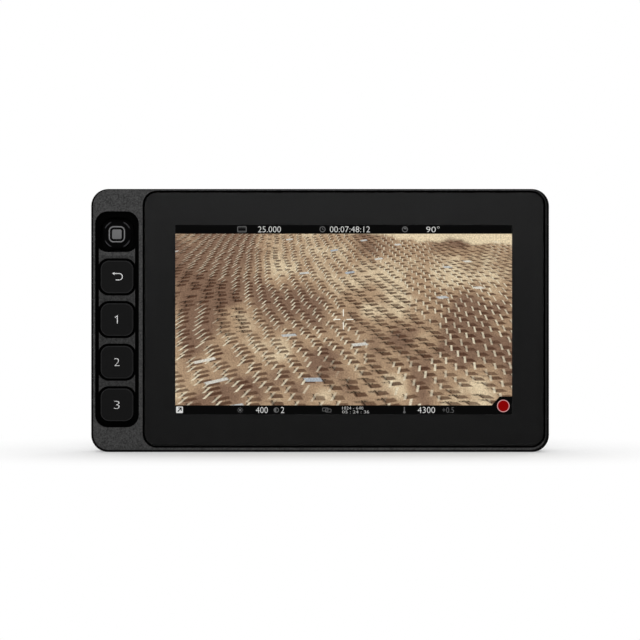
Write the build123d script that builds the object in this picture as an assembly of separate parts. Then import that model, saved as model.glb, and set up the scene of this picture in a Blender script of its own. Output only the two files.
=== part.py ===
"""Five-inch on-camera field monitor with a column of four keys and a joystick.

Row frame: +X to the right of someone facing the screen, +Y towards the back,
+Z up. The origin is the centre of the footprint, on the ground. Millimetres.
"""

import os

from build123d import *

os.makedirs("parts", exist_ok=True)

# ---------------------------------------------------------------- overall
body_width = 150.4
body_height = 86.4
corner_radius = 5.6
edge_round = 0.5  # front edge of the frame
seam_chamfer = 0.2  # on both sides of the parting line
wall = 2.4

# clearances shared by several pieces
press_gap = 0.02  # a piece pressed into another
screw_gap = 0.03  # a screw in its thread
screw_hole_gap = 0.1  # a screw in its clearance hole
tip_gap = 0.2  # below the end of a screw or stem
slack = 0.15  # a loose piece in its tray

# ---------------------------------------------------------------- front frame
key_proud = 0.3  # keys and joystick stand this far out of the frame's face
frame_depth = 8.5
flange_thickness = 2.4  # rim of the rear housing
hump_depth = 15.5  # housing behind its rim
rail_proud = 3.3  # battery rails above the rear face
body_depth = key_proud + frame_depth + flange_thickness + hump_depth + rail_proud
front_y = -body_depth / 2 + key_proud
parting_y = front_y + frame_depth
rear_y = body_depth / 2

# ---------------------------------------------------------------- cover glass and display
strip_width = 17.2  # control strip left of the glass
lip_right = 1.45
lip_top = 0.85
lip_bottom = 1.7
glass_thickness = 1.1
glass_radius = 4.4
glass_gap = 0.3
glass_chamfer = 0.25
glass_width = body_width - strip_width - lip_right
glass_height = body_height - lip_top - lip_bottom
glass_x = (strip_width - lip_right) / 2
glass_z = (body_height - lip_top + lip_bottom) / 2
glass_rear_y = front_y + glass_thickness

adhesive_thickness = 0.3
ledge_width = 5.25  # how far the ledge reaches in under the glass
ledge_thickness = 1.6
window_radius = 2.0
window_width = glass_width - 2 * ledge_width
window_height = glass_height - 2 * ledge_width
window_bottom_z = glass_z - window_height / 2
window_top_z = glass_z + window_height / 2
ledge_front_y = glass_rear_y + adhesive_thickness
cavity_front_y = ledge_front_y + ledge_thickness

active_width = 110.7  # lit area of a 5 inch 16:9 cell
active_height = 62.3
cell_border = 2.4
cell_radius = 0.6
cell_thickness = 1.2
cell_width = active_width + 2 * cell_border
cell_height = active_height + 2 * cell_border
cell_rear_y = glass_rear_y + cell_thickness
cell_bottom_z = glass_z - cell_height / 2
cell_top_z = glass_z + cell_height / 2

tray_thickness = 2.6
tray_wall = 1.5
tray_floor = 0.5
led_bar_height = 1.4
tray_rear_y = cell_rear_y + tray_thickness

spreader_thickness = 1.5
spreader_radius = 2.0
spreader_inset = 1.15  # its left edge inside the window's
spreader_edge_gap = 0.5
spreader_screw_pitch = 48.0
spreader_left_x = glass_x - window_width / 2 + spreader_inset
spreader_rear_y = tray_rear_y + spreader_thickness

# ---------------------------------------------------------------- screws
housing_screw_r = 1.25
housing_screw_length = 5.6
housing_head_r = 2.4
housing_head_height = 1.2
housing_boss_r = 2.8
head_gap = 0.2
head_chamfer = 0.2
drive_share = 0.5  # hexagon socket against the head, in radius and in depth
corner_screw_inset = 5.8  # from the top and bottom edges
side_screw_inset = 5.1  # from the right edge
small_screw_r = 0.8  # the small screws are all one size, 1.6 by 4
small_screw_length = 4.0
small_head_r = 1.5
small_head_height = 0.9
small_cross_length = 1.7
small_cross_width = 0.4
small_boss_r = 1.9
post_r = 2.4

# ---------------------------------------------------------------- control strip
strip_inset = 8.5  # middle of the strip from the left edge
key_pitch = 14.0
column_drop = 27.7  # lowest key's centre below the middle of the body
strip_x = strip_inset - body_width / 2
lowest_key_z = body_height / 2 - column_drop
key_size = 10.7
key_radius = 2.8
key_chamfer = 0.35
key_travel = 0.45
key_gap_side = 0.8
key_gap_end = 0.62
island_width = key_size + 2 * key_gap_side - 0.16
side_groove = 0.98  # between the lands and the pocket's sides
pocket_width = island_width + 2 * side_groove
pocket_below = 7.25  # from the lowest key's centre to the pocket's lower end
pocket_above = 7.4  # from the joystick's centre to its upper end
pocket_radius = 4.0
pocket_depth = 1.9
key_zs = [lowest_key_z + key_pitch * step for step in range(4)]
joystick_z = lowest_key_z + key_pitch * 4
pocket_bottom_z = lowest_key_z - pocket_below
pocket_top_z = joystick_z + pocket_above
pocket_height = pocket_top_z - pocket_bottom_z
pocket_z = (pocket_top_z + pocket_bottom_z) / 2
well_height = 13.1
rim_chamfer = 0.15
seal_thickness = 0.4
seal_gap = 0.1
stem_size = 4.2
stem_radius = 0.9
stem_gap = 0.15
stem_inset = 0.2
pusher_flange_r = 2.9
pusher_flange_thickness = 0.8
pusher_flange_gap = 0.15
pusher_tip_r = 1.1
pusher_spigot_r = 1.0
pusher_spigot_length = 1.9
pusher_reach = 0.7  # how far the tip stands inside its switch at rest
floor_front_y = front_y + pocket_depth
floor_rear_y = cavity_front_y
key_face_y = front_y - key_proud
key_rear_y = floor_front_y - seal_thickness - key_travel - seal_gap

key_board_offset = 4.0  # board's front face behind the floor of the strip
key_board_thickness = 1.0
key_board_gap = 0.2
key_board_radius = 1.5
key_board_front_y = floor_rear_y + key_board_offset
key_board_rear_y = key_board_front_y + key_board_thickness
key_board_width = 2 * (strip_x + body_width / 2 - wall - key_board_gap)
key_board_below = 6.3  # from the lowest key's centre to the board's lower edge
key_board_above = 5.7  # from the joystick's centre to its upper edge
key_board_bottom_z = lowest_key_z - key_board_below
key_board_top_z = joystick_z + key_board_above
key_board_screw_zs = (lowest_key_z + key_pitch * 0.5, lowest_key_z + key_pitch * 3.5)
key_switch_size = 6.0
key_switch_height = 2.3
key_switch_radius = 0.5
key_switch_bore_depth = 1.4
key_switch_front_y = key_board_front_y - key_switch_height

corner_screw_x = body_width / 2 - corner_radius
housing_screws = [
    (x, z)
    for x in (-corner_screw_x, corner_screw_x)
    for z in (corner_screw_inset, body_height - corner_screw_inset)
]
housing_screws += [
    (strip_x, lowest_key_z + key_pitch * 1.5),
    (body_width / 2 - side_screw_inset, body_height / 2),
]

# ---------------------------------------------------------------- joystick
tip_size = 5.6
tip_radius = 1.7
tip_wall = 0.5
tip_pad = 3.2
tip_pad_radius = 0.5
tip_moat = 0.6
skirt_r = 4.7
skirt_top_r = 3.2
skirt_drop = 1.1  # top of the skirt below the key faces
skirt_slope = 0.7
skirt_edge = 0.6
skirt_flat_angle = 33
skirt_flat_length = 3.0
skirt_flat_depth = 1.4
joystick_press = 0.4
joystick_hole = 11.4
joystick_hole_radius = 4.5
joystick_housing = 10.0
joystick_housing_radius = 0.8
joystick_housing_depth = 3.3
joystick_cover_thickness = 0.4
cover_hole_r = 2.7
gimbal_bore_r = 3.9
gimbal_floor = 0.3
pivot_y = key_board_front_y - 1.7
yoke_outer_r = 3.3
yoke_inner_r = 2.35
yoke_height = 0.9
trunnion_r = 0.35
trunnion_gap = 0.04
trunnion_reach = 4.6
hub_r = 1.8
hub_height = 1.6
shaft_r = 0.8
shaft_gap = 0.05
neck_r = 1.2
joystick_housing_front_y = key_board_front_y - joystick_housing_depth
joystick_cover_rear_y = joystick_housing_front_y + joystick_cover_thickness
skirt_front_y = key_face_y + skirt_drop
skirt_edge_y = skirt_front_y + skirt_slope
skirt_rear_y = skirt_edge_y + skirt_edge
hub_front_y = pivot_y - hub_height / 2
hub_rear_y = pivot_y + hub_height / 2

# ---------------------------------------------------------------- rear housing
flange_wall = 1.5
flange_round = 0.8
board_offset = 3.2  # main board's rear face behind the flange
hump_width = 118.0
hump_radius = 6.0
hump_round = 2.0
hump_wall = 2.6
flange_rear_y = parting_y + flange_thickness
flange_inner_y = flange_rear_y - flange_wall
board_rear_y = flange_rear_y + board_offset
hump_rear_y = rear_y - rail_proud
hump_inner_y = hump_rear_y - hump_wall
side_x = hump_width / 2
inner_side_x = side_x - wall

fin_pitch = 3.0
fin_groove = 1.4
fin_depth = 1.3
fin_length = 27.0
fin_inset = 19.5  # middle of the grooves from the side of the hump
fin_bottom_z = 35.0
fin_top_margin = 9.0
fin_x = side_x - fin_inset
fin_count = int((body_height - fin_top_margin - fin_bottom_z) / fin_pitch) + 1

gasket_width = 1.0
gasket_depth = 0.8
gasket_inset = 0.7
gasket_gap = 0.05

# ---------------------------------------------------------------- battery plate
plate_width = 43.0
plate_height = 73.0
plate_bottom_z = 5.2
plate_thickness = 1.5
plate_radius = 2.0
plate_gap = 0.1
plate_z = plate_bottom_z + plate_height / 2
seat_margin = 1.5
seat_floor = 1.5
rail_height = 3.8
rail_width = 1.9
rail_low = 1.6
rail_inset = 2.5
rail_chamfer = 0.3
hook_reach = 1.3
hook_thickness = 1.2
hook_length = 12.0
hook_zs = (28.0, 58.0)
plate_face_y = rear_y - rail_height
seat_y = plate_face_y - plate_thickness
seat_inner_y = seat_y - seat_floor
contact_block_width = 25.0
contact_block_height = 6.0
contact_block_radius = 0.8
contact_block_bottom_z = plate_bottom_z + 0.6
blade_thickness = 1.0
blade_depth = 1.8
blade_length = 5.5
blade_gap = 0.03
blade_pitch = 7.5
blade_xs = (-blade_pitch, 0.0, blade_pitch)
blade_y = plate_face_y + rail_height / 2
tail_z = contact_block_bottom_z + contact_block_height - 1.0
tail_thickness = 1.0
tail_length = 1.2
lead_width = 1.6
lead_thickness = 0.6
lead_y = board_rear_y + 3.5
lead_board_z = 15.8
plate_screw_length = 4.3
plate_screw_sink = 0.9
plate_boss_r = 2.6
plate_boss_height = 3.0
plate_screws = ((-16.0, 18.0), (16.0, 18.0), (-16.0, 72.5), (16.0, 72.5))

# ---------------------------------------------------------------- battery latch
latch_z = plate_bottom_z + 18.8
latch_bar_height = 6.0
latch_bar_thickness = 1.4
latch_left_x = -6.0
latch_right_x = 31.5
latch_tab_width = 10.0
latch_tab_height = 4.0
latch_tab_proud = 1.5
latch_tab_land = 0.8
latch_button_x = 27.0
latch_button_width = 7.0
latch_button_height = 11.0
latch_button_radius = 3.0
latch_button_proud = 1.4
latch_button_round = 0.5
latch_gap = 0.25
latch_neck = 5.0
latch_bar_rear_y = seat_inner_y - latch_gap
latch_bar_front_y = latch_bar_rear_y - latch_bar_thickness
bracket_thickness = 1.2
bracket_height = 7.0
bracket_margin = 2.75
bracket_front_y = board_rear_y + 1.5
bracket_rear_y = bracket_front_y + bracket_thickness
bracket_screw_xs = (-10.5, 36.0)
spring_x = 12.0
spring_length = 30.0
spring_width = 4.0
spring_strip = 0.25
spring_gap = 0.1
spring_stop = 0.8  # ribs on the bracket that keep the spring's ends in place

# ---------------------------------------------------------------- main board and its parts
board_thickness = 1.6
board_edge_gap = 0.6
board_radius = 1.5
board_bottom_z = 11.5
board_top_margin = 10.9
board_width = 2 * (inner_side_x - board_edge_gap)
board_top_z = body_height - board_top_margin
board_front_y = board_rear_y - board_thickness
upper_post_x = 41.0
upper_post_z = board_top_z - 4.0
lower_post_z = board_bottom_z + 3.5
lower_post_xs = (-24.0, 34.0)
board_posts = [(x, upper_post_z) for x in (-upper_post_x, upper_post_x)]
board_posts += [(x, lower_post_z) for x in lower_post_xs]
processor_size = 16.0
processor_height = 1.8
processor_x = -28.0
processor_z = 55.0
thermal_pad_thickness = 1.0
chip_height = 1.2
memory_size = (9.0, 11.0)
memory_places = ((8.0, 62.0), (-6.0, 62.0))
converter_size = (8.0, 8.0)
converter_places = ((24.0, 52.0), (24.0, 36.0))

ribbon_thickness = 0.2
display_ribbon_width = 24.0
display_ribbon_drop = 1.2
display_ribbon_y = board_front_y - 3.4
display_ribbon_top_z = board_bottom_z + 7.5
ribbon_slot_gap = 0.6
key_ribbon_left_x = strip_x + 4.7
key_ribbon_right_x = 6.0 - board_width / 2
key_ribbon_width = 8.0
key_ribbon_z = 64.0
socket_depth = 4.0
socket_margin = 0.5

# ---------------------------------------------------------------- ports on the right wall
bnc_zs = (14.5, 32.5)
bnc_axis_y = flange_rear_y + 7.4
bnc_shell_r = 4.8
bnc_hole_gap = 0.1
bnc_bore_r = 4.05
bnc_cup_depth = 9.0
bnc_reach = 13.0
bnc_lip = 0.4
bnc_lug_r = 0.95
bnc_lug_height = 0.7
bnc_lug_inset = 3.6
bnc_nut_width = 11.0
bnc_nut_thickness = 2.0
bnc_shoulder_front = 4.0
bnc_shoulder_rear = 4.9
bnc_shoulder_side = 6.2
bnc_shoulder_depth = 4.0
bnc_tail_r = 3.2
bnc_tail_length = 5.0
bnc_insulator_r = 2.35
bnc_insulator_inset = 1.2
bnc_contact_r = 0.7
bnc_contact_inset = 1.6
bnc_contact_bore_r = 0.4
bnc_contact_bore_depth = 3.4
bnc_tail_x = inner_side_x - bnc_shoulder_depth - bnc_tail_length
bnc_tip_x = side_x + bnc_reach
sdi_lead_r = 1.0
sdi_lead_bend_r = 3.4
sdi_lead_x = bnc_tail_x - 9.1

hdmi_zs = (50.0, 66.5)
hdmi_width = 15.0
hdmi_height = 5.7
hdmi_corner = 1.6
hdmi_length = 11.5
hdmi_sheet = 0.4
hdmi_carrier = 2.6
hdmi_tongue_width = 11.4
hdmi_tongue_thickness = 1.1
hdmi_tongue_inset = 1.4
port_recess = 0.3
port_gap = 0.25
hdmi_y = board_rear_y + hdmi_height / 2
hdmi_mouth_x = side_x - port_recess
hdmi_inner_x = hdmi_mouth_x - hdmi_length

# ---------------------------------------------------------------- ports on the left wall
card_slot_z = 26.0
reader_width = 27.0
reader_length = 28.0
reader_height = 2.8
reader_end_wall = 3.0
card_width = 24.4
card_thickness = 2.2
card_slot_gap = 0.3

power_socket_z = 46.0
power_socket_y = board_rear_y + 4.85
power_socket_r = 4.3
power_socket_hole_gap = 0.1
power_socket_proud = 2.2
power_socket_tail = 8.8
power_socket_shoulder_r = 4.7
power_socket_shoulder = 1.2
power_socket_nut_r = 5.6
power_socket_nut_thickness = 1.8
power_socket_notch = 1.2
power_socket_notch_depth = 0.8
power_socket_bore_r = 3.3
power_socket_bore_depth = 8.0
power_socket_key_width = 1.0
power_socket_key_height = 0.6
power_pin_r = 0.45
power_pin_inset = 2.2
power_pin_spacing = 2.6
power_socket_mouth_x = -side_x - power_socket_proud

usb_z = 56.5
usb_width = 8.94
usb_height = 3.26
usb_length = 7.5
usb_sheet = 0.3
usb_carrier = 1.2
usb_tongue_width = 6.6
usb_tongue_thickness = 0.7
usb_tongue_inset = 1.0
usb_y = board_rear_y + usb_height / 2
usb_mouth_x = -side_x + port_recess

headphone_z = 64.5
headphone_bore_r = 1.8
headphone_collar_r = 2.9
headphone_collar_proud = 0.2
headphone_length = 13.0
headphone_body_width = 6.0
headphone_body_depth = 5.6
headphone_y = board_rear_y + headphone_body_depth / 2

power_button_z = 72.5
power_button_y = board_rear_y + 4.2
power_button_r = 3.4
power_button_gap = 0.15
power_button_proud = 0.5
power_button_travel = 0.4
power_button_round = 0.35
power_button_flange_r = 4.0
power_button_flange = 0.7
power_button_tip_r = 0.9
power_button_tip_length = 1.1
power_switch_depth = 3.6
power_switch_width = 6.0
power_switch_height = 6.6
power_switch_gap = 0.3
power_switch_x = -inner_side_x + tip_gap + power_button_flange + power_button_travel + power_switch_gap
power_switch_bore_depth = 1.6

# ---------------------------------------------------------------- mounting blocks
mount_y = flange_rear_y + 6.3
mount_depth = 10.6
mount_tongue_width = 27.0
mount_flange_width = 35.0
mount_flange_thickness = 2.4
mount_height = 9.0
mount_boss_width = 12.0
mount_thread_r = 3.3  # 1/4 inch, 20 turns to the inch
mount_thread_depth = 7.5
mount_pin_r = 1.6
mount_pin_depth = 3.5
mount_pin_x = 9.5
mount_screw_x = 15.4
mount_gap = 0.1


# ---------------------------------------------------------------- helpers
def along_y(outline, start, end):
    """A solid from an outline drawn in X and Z, between two Y values."""
    return extrude(Plane.XZ.offset(-end) * outline, end - start)


def along_x(outline, start, end):
    """A solid from an outline drawn in Y and Z, between two X values."""
    return extrude(Plane.YZ.offset(start) * outline, end - start)


def along_z(outline, start, end):
    """A solid from an outline drawn in X and Y, between two Z values."""
    return extrude(Plane.XY.offset(start) * outline, end - start)


def panel(width, height, radius, across=0.0, up=0.0):
    return Pos(across, up) * RectangleRounded(width, height, radius)


def disc(radius, across=0.0, up=0.0):
    return Pos(across, up) * Circle(radius)


def block(x0, x1, y0, y1, z0, z1):
    return Pos((x0 + x1) / 2, (y0 + y1) / 2, (z0 + z1) / 2) * Box(x1 - x0, y1 - y0, z1 - z0)


def edges_at(shape, axis, value):
    """The edges that lie whole in the plane where axis equals value."""
    tolerance = 0.001
    return shape.edges().filter_by_position(axis, value - tolerance, value + tolerance)


def joined(shapes):
    """Several outlines or solids as one, so that one cut or fuse takes them all."""
    total = shapes[0]
    for shape in shapes[1:]:
        total += shape
    return total


def screw(shank_r, length, head_r, head_height):
    """A screw that points down, with the underside of its head at the origin."""
    shank = Pos(0, 0, -length / 2) * Cylinder(shank_r, length)
    return shank + Pos(0, 0, head_height / 2) * Cylinder(head_r, head_height)


def socket_screw(shank_r, length, head_r, head_height):
    part = screw(shank_r, length, head_r, head_height)
    part = chamfer(edges_at(part, Axis.Z, head_height), head_chamfer)
    drive = RegularPolygon(head_r * drive_share, 6)
    return part - along_z(drive, head_height * (1 - drive_share), head_height)


driven_to_front = Rot(-90, 0, 0)
driven_to_back = Rot(90, 0, 0)


def upside_down(part):
    """A piece of the bottom wall turned over to sit in the top wall."""
    return Pos(0, 2 * mount_y, body_height) * (Rot(180, 0, 0) * part)


# ---------------------------------------------------------------- outlines shared by pieces
body_outline = Pos(0, body_height / 2) * RectangleRounded(body_width, body_height, corner_radius)
cavity_outline = offset(body_outline, -wall)
glass_outline = panel(glass_width, glass_height, glass_radius, glass_x, glass_z)
window_outline = panel(window_width, window_height, window_radius, glass_x, glass_z)
cell_outline = panel(cell_width, cell_height, cell_radius, glass_x, glass_z)
pocket_outline = panel(pocket_width, pocket_height, pocket_radius, strip_x, pocket_z)
joystick_hole_outline = panel(joystick_hole, joystick_hole, joystick_hole_radius, strip_x, joystick_z)
joystick_housing_outline = panel(
    joystick_housing, joystick_housing, joystick_housing_radius, strip_x, joystick_z
)
hump_outline = Pos(0, body_height / 2) * RectangleRounded(hump_width, body_height, hump_radius)
latch_hole_half_width = latch_tab_width / 2 + latch_gap
latch_hole_half_height = latch_tab_height / 2 + latch_gap
lower_land_z = (wall + window_bottom_z) / 2
upper_land_z = (body_height - wall + window_top_z) / 2
spreader_screws = [
    (glass_x + column * spreader_screw_pitch, z)
    for column in (-1, 0, 1)
    for z in (lower_land_z, upper_land_z)
]


def stem_hole(z):
    side = stem_size + 2 * stem_gap
    return panel(side, side, stem_radius + stem_gap, strip_x, z)


stem_holes = joined([stem_hole(z) for z in key_zs])


def islands():
    """The lands that stand between the keys, their ends hollowed round the keys and the well."""
    well_z = pocket_top_z - well_height / 2
    lands = Pos(strip_x, (well_z + lowest_key_z) / 2) * Rectangle(island_width, well_z - lowest_key_z)
    lands -= panel(pocket_width, well_height, pocket_radius, strip_x, well_z)
    width = key_size + 2 * key_gap_side
    height = key_size + 2 * key_gap_end
    for z in key_zs:
        lands -= panel(width, height, key_radius + key_gap_end, strip_x, z)
    return lands


# ---------------------------------------------------------------- front frame
def pocket_rim(frame):
    """The edges of the key pocket in the frame's front face."""
    return [
        edge
        for edge in edges_at(frame, Axis.Y, front_y)
        if abs(edge.center().X - strip_x) < pocket_width / 2 + seam_chamfer
        and abs(edge.center().Z - pocket_z) < pocket_height / 2 + seam_chamfer
    ]


def make_front_frame():
    frame = along_y(body_outline, front_y, parting_y)
    frame = fillet(edges_at(frame, Axis.Y, front_y), edge_round)
    frame = chamfer(edges_at(frame, Axis.Y, parting_y), seam_chamfer)
    frame -= along_y(cavity_outline, cavity_front_y, parting_y)
    frame -= along_y(offset(glass_outline, glass_gap), front_y, ledge_front_y)
    frame -= along_y(window_outline, ledge_front_y, cavity_front_y)
    frame -= along_y(pocket_outline, front_y, floor_front_y)
    frame = chamfer(pocket_rim(frame), rim_chamfer)
    lands = along_y(islands(), front_y, floor_front_y)
    frame += chamfer(edges_at(lands, Axis.Y, front_y), rim_chamfer)
    frame -= along_y(stem_holes + joystick_hole_outline, floor_front_y, floor_rear_y)
    frame += frame_bosses()
    frame -= frame_screw_holes()
    seam = offset(body_outline, -gasket_inset)
    frame -= along_y(seam - offset(seam, -gasket_width), parting_y - gasket_depth, parting_y)
    return frame


def frame_bosses():
    """Bosses for the housing, the key board and the heat spreader, none outside the walls."""
    housing = joined([disc(housing_boss_r, x, z) for x, z in housing_screws])
    key_board = joined([disc(small_boss_r, strip_x, z) for z in key_board_screw_zs])
    spreader = joined([disc(small_boss_r, x, z) for x, z in spreader_screws])
    bosses = along_y(housing & offset(body_outline, -gasket_inset - gasket_width), cavity_front_y, parting_y)
    bosses += along_y(key_board, cavity_front_y, key_board_front_y)
    return bosses + along_y(spreader & cavity_outline, cavity_front_y, tray_rear_y)


def frame_screw_holes():
    housing = joined([disc(housing_screw_r + screw_gap, x, z) for x, z in housing_screws])
    key_board = joined([disc(small_screw_r + screw_gap, strip_x, z) for z in key_board_screw_zs])
    spreader = joined([disc(small_screw_r + screw_gap, x, z) for x, z in spreader_screws])
    housing_tip_y = flange_rear_y - housing_head_height - housing_screw_length - tip_gap
    key_board_tip_y = key_board_rear_y - small_screw_length - tip_gap
    spreader_tip_y = spreader_rear_y - small_screw_length - tip_gap
    holes = along_y(housing, housing_tip_y, parting_y)
    holes += along_y(key_board, key_board_tip_y, key_board_front_y)
    return holes + along_y(spreader, spreader_tip_y, tray_rear_y)


def make_housing_gasket():
    outer = offset(body_outline, -gasket_inset - gasket_gap)
    inner = offset(outer, 2 * gasket_gap - gasket_width)
    return along_y(outer - inner, parting_y - gasket_depth, parting_y)


# ---------------------------------------------------------------- display stack
def make_cover_glass():
    glass = along_y(glass_outline, front_y, glass_rear_y)
    return chamfer(edges_at(glass, Axis.Y, front_y), glass_chamfer)


def make_glass_adhesive():
    return along_y(offset(glass_outline, -glass_gap) - window_outline, glass_rear_y, ledge_front_y)


def make_lcd_cell():
    return along_y(cell_outline, glass_rear_y, cell_rear_y)


def make_backlight_tray():
    tray = along_y(cell_outline, cell_rear_y, tray_rear_y)
    hollow = Pos(glass_x, glass_z) * Rectangle(cell_width - 2 * tray_wall, cell_height - 2 * tray_wall)
    return tray - along_y(hollow, cell_rear_y, tray_rear_y - tray_floor)


def tray_insert(bottom_z, top_z):
    """A flat piece between the side walls of the tray."""
    half = cell_width / 2 - tray_wall - slack
    return block(
        glass_x - half, glass_x + half, cell_rear_y + slack, tray_rear_y - tray_floor, bottom_z, top_z
    )


led_bar_bottom_z = cell_bottom_z + tray_wall + slack
led_bar_top_z = led_bar_bottom_z + led_bar_height


def make_led_bar():
    return tray_insert(led_bar_bottom_z, led_bar_top_z)


def make_light_guide():
    return tray_insert(led_bar_top_z + slack, cell_top_z - tray_wall - slack)


def make_heat_spreader():
    right_x = corner_screw_x - housing_boss_r - spreader_edge_gap
    low = wall + spreader_edge_gap
    high = body_height - wall - spreader_edge_gap
    middle_x = (right_x + spreader_left_x) / 2
    plate = panel(right_x - spreader_left_x, high - low, spreader_radius, middle_x, (low + high) / 2)
    plate -= joined([disc(small_screw_r + screw_hole_gap, x, z) for x, z in spreader_screws])
    slot_z = cell_bottom_z - display_ribbon_drop + ribbon_thickness / 2
    plate -= Pos(glass_x, slot_z) * Rectangle(
        display_ribbon_width + 2 * ribbon_slot_gap, ribbon_thickness + 2 * ribbon_slot_gap
    )
    return along_y(plate, tray_rear_y, spreader_rear_y)


# ---------------------------------------------------------------- keys
def make_keypad_seal():
    seal = offset(pocket_outline, -seal_gap) - joined([offset(land, seal_gap) for land in islands().faces()])
    seal -= stem_holes + joystick_hole_outline
    return along_y(seal, floor_front_y - seal_thickness, floor_front_y)


def make_key_cap(z):
    cap = along_y(panel(key_size, key_size, key_radius, strip_x, z), key_face_y, key_rear_y)
    cap = chamfer(edges_at(cap, Axis.Y, key_face_y), key_chamfer)
    stem_end_y = floor_rear_y - stem_inset
    cap += along_y(panel(stem_size, stem_size, stem_radius, strip_x, z), key_rear_y, stem_end_y)
    return cap - along_y(disc(pusher_spigot_r + press_gap, strip_x, z), key_rear_y, stem_end_y)


def make_key_pusher(z):
    """A button pressed into the key's stem from behind: its flange keeps the key in the strip."""
    flange_front_y = floor_rear_y + pusher_flange_gap
    flange_end_y = flange_front_y + pusher_flange_thickness
    spigot_front_y = flange_front_y - pusher_spigot_length
    pusher = along_y(disc(pusher_spigot_r, strip_x, z), spigot_front_y, flange_front_y)
    pusher += along_y(disc(pusher_flange_r, strip_x, z), flange_front_y, flange_end_y)
    return pusher + along_y(disc(pusher_tip_r, strip_x, z), flange_end_y, key_switch_front_y + pusher_reach)


def make_key_switches():
    """Four tactile switches, each with a bore that its key's pusher stands in."""
    switches = []
    for z in key_zs:
        body = along_y(
            panel(key_switch_size, key_switch_size, key_switch_radius, strip_x, z),
            key_switch_front_y,
            key_board_front_y,
        )
        bore = disc(pusher_tip_r + screw_hole_gap, strip_x, z)
        switches.append(body - along_y(bore, key_switch_front_y, key_switch_front_y + key_switch_bore_depth))
    return Compound(switches)


def make_key_board():
    height = key_board_top_z - key_board_bottom_z
    board = panel(
        key_board_width, height, key_board_radius, strip_x, (key_board_bottom_z + key_board_top_z) / 2
    )
    board -= joined([disc(small_screw_r + screw_hole_gap, strip_x, z) for z in key_board_screw_zs])
    board -= joined([disc(housing_boss_r + key_board_gap, x, z) for x, z in housing_screws])
    return along_y(board, key_board_front_y, key_board_rear_y)


# ---------------------------------------------------------------- joystick
def make_joystick_switch():
    """The housing that holds the gimbal, with a bearing bore across it for the yoke."""
    body = along_y(joystick_housing_outline, joystick_cover_rear_y, key_board_front_y)
    body -= along_y(
        disc(gimbal_bore_r, strip_x, joystick_z), joystick_cover_rear_y, key_board_front_y - gimbal_floor
    )
    bearing_end = trunnion_reach + tip_gap
    return body - along_x(
        disc(trunnion_r + trunnion_gap, pivot_y, joystick_z), strip_x - bearing_end, strip_x + bearing_end
    )


def make_joystick_cover():
    plate = joystick_housing_outline - disc(cover_hole_r, strip_x, joystick_z)
    return along_y(plate, joystick_housing_front_y, joystick_cover_rear_y)


def make_joystick_yoke():
    """The outer ring of the gimbal: trunnions along X, and holes along Z for the hub's trunnions."""
    rim = disc(yoke_outer_r, strip_x, joystick_z) - disc(yoke_inner_r, strip_x, joystick_z)
    ring = along_y(rim, pivot_y - yoke_height / 2, pivot_y + yoke_height / 2)
    middle_r = (yoke_inner_r + yoke_outer_r) / 2
    trunnion = disc(trunnion_r, pivot_y, joystick_z)
    ring += along_x(trunnion, strip_x + middle_r, strip_x + trunnion_reach)
    ring += along_x(trunnion, strip_x - trunnion_reach, strip_x - middle_r)
    bearing = disc(trunnion_r + trunnion_gap, strip_x, pivot_y)
    return ring - along_z(bearing, joystick_z - yoke_outer_r, joystick_z + yoke_outer_r)


def make_joystick_hub():
    """The inner part of the gimbal, with a bore for the joystick's shaft."""
    hub = along_y(disc(hub_r, strip_x, joystick_z), hub_front_y, hub_rear_y)
    reach = yoke_outer_r - tip_gap
    hub += along_z(disc(trunnion_r, strip_x, pivot_y), joystick_z - reach, joystick_z + reach)
    return hub - along_y(disc(shaft_r + shaft_gap, strip_x, joystick_z), hub_front_y, hub_rear_y)


def make_joystick_cap():
    """A round skirt with four flats, a square boss, and the shaft that slides in the hub."""
    profile = Polyline(
        (0, skirt_front_y),
        (skirt_top_r, skirt_front_y),
        (skirt_r, skirt_edge_y),
        (skirt_r, skirt_rear_y),
        (0, skirt_rear_y),
        close=True,
    )
    skirt = revolve(make_face(profile), Axis.Y)
    flat = Pos(skirt_r, skirt_front_y, 0) * Rot(0, 0, skirt_flat_angle)
    flat *= Box(skirt_flat_length, skirt_flat_depth, 2 * skirt_r)
    skirt -= joined([Rot(0, 90 * turn, 0) * flat for turn in range(4)])
    cap = Pos(strip_x, 0, joystick_z) * skirt
    cap += along_y(
        panel(tip_size, tip_size, tip_radius, strip_x, joystick_z), key_face_y + tip_moat, skirt_front_y
    )
    neck_end_y = hub_front_y - joystick_press - 2 * shaft_gap
    cap += along_y(disc(neck_r, strip_x, joystick_z), skirt_rear_y, neck_end_y)
    return cap + along_y(disc(shaft_r, strip_x, joystick_z), neck_end_y, hub_rear_y - slack)


def make_joystick_tip():
    """The pale insert on the cap: a square ring and a pad with a moat between them."""
    outer = panel(tip_size, tip_size, tip_radius, strip_x, joystick_z)
    pad = panel(tip_pad, tip_pad, tip_pad_radius, strip_x, joystick_z)
    outlines = (outer - offset(outer, -tip_wall), pad)
    return Compound([along_y(outline, key_face_y, key_face_y + tip_moat) for outline in outlines])


# ---------------------------------------------------------------- rear housing
def make_rear_housing():
    housing = along_y(body_outline, parting_y, flange_rear_y)
    housing = fillet(edges_at(housing, Axis.Y, flange_rear_y), flange_round)
    housing = chamfer(edges_at(housing, Axis.Y, parting_y), seam_chamfer)
    hump = along_y(hump_outline, parting_y + seam_chamfer, hump_rear_y)
    housing += fillet(edges_at(hump, Axis.Y, hump_rear_y), hump_round)
    housing -= along_y(offset(hump_outline, -wall), parting_y, hump_inner_y)
    housing -= along_y(cavity_outline, parting_y, flange_inner_y)
    housing += housing_bosses()
    housing -= housing_holes()
    housing -= along_y(cooling_grooves(), hump_rear_y - fin_depth, hump_rear_y)
    return housing - port_holes()


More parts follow.
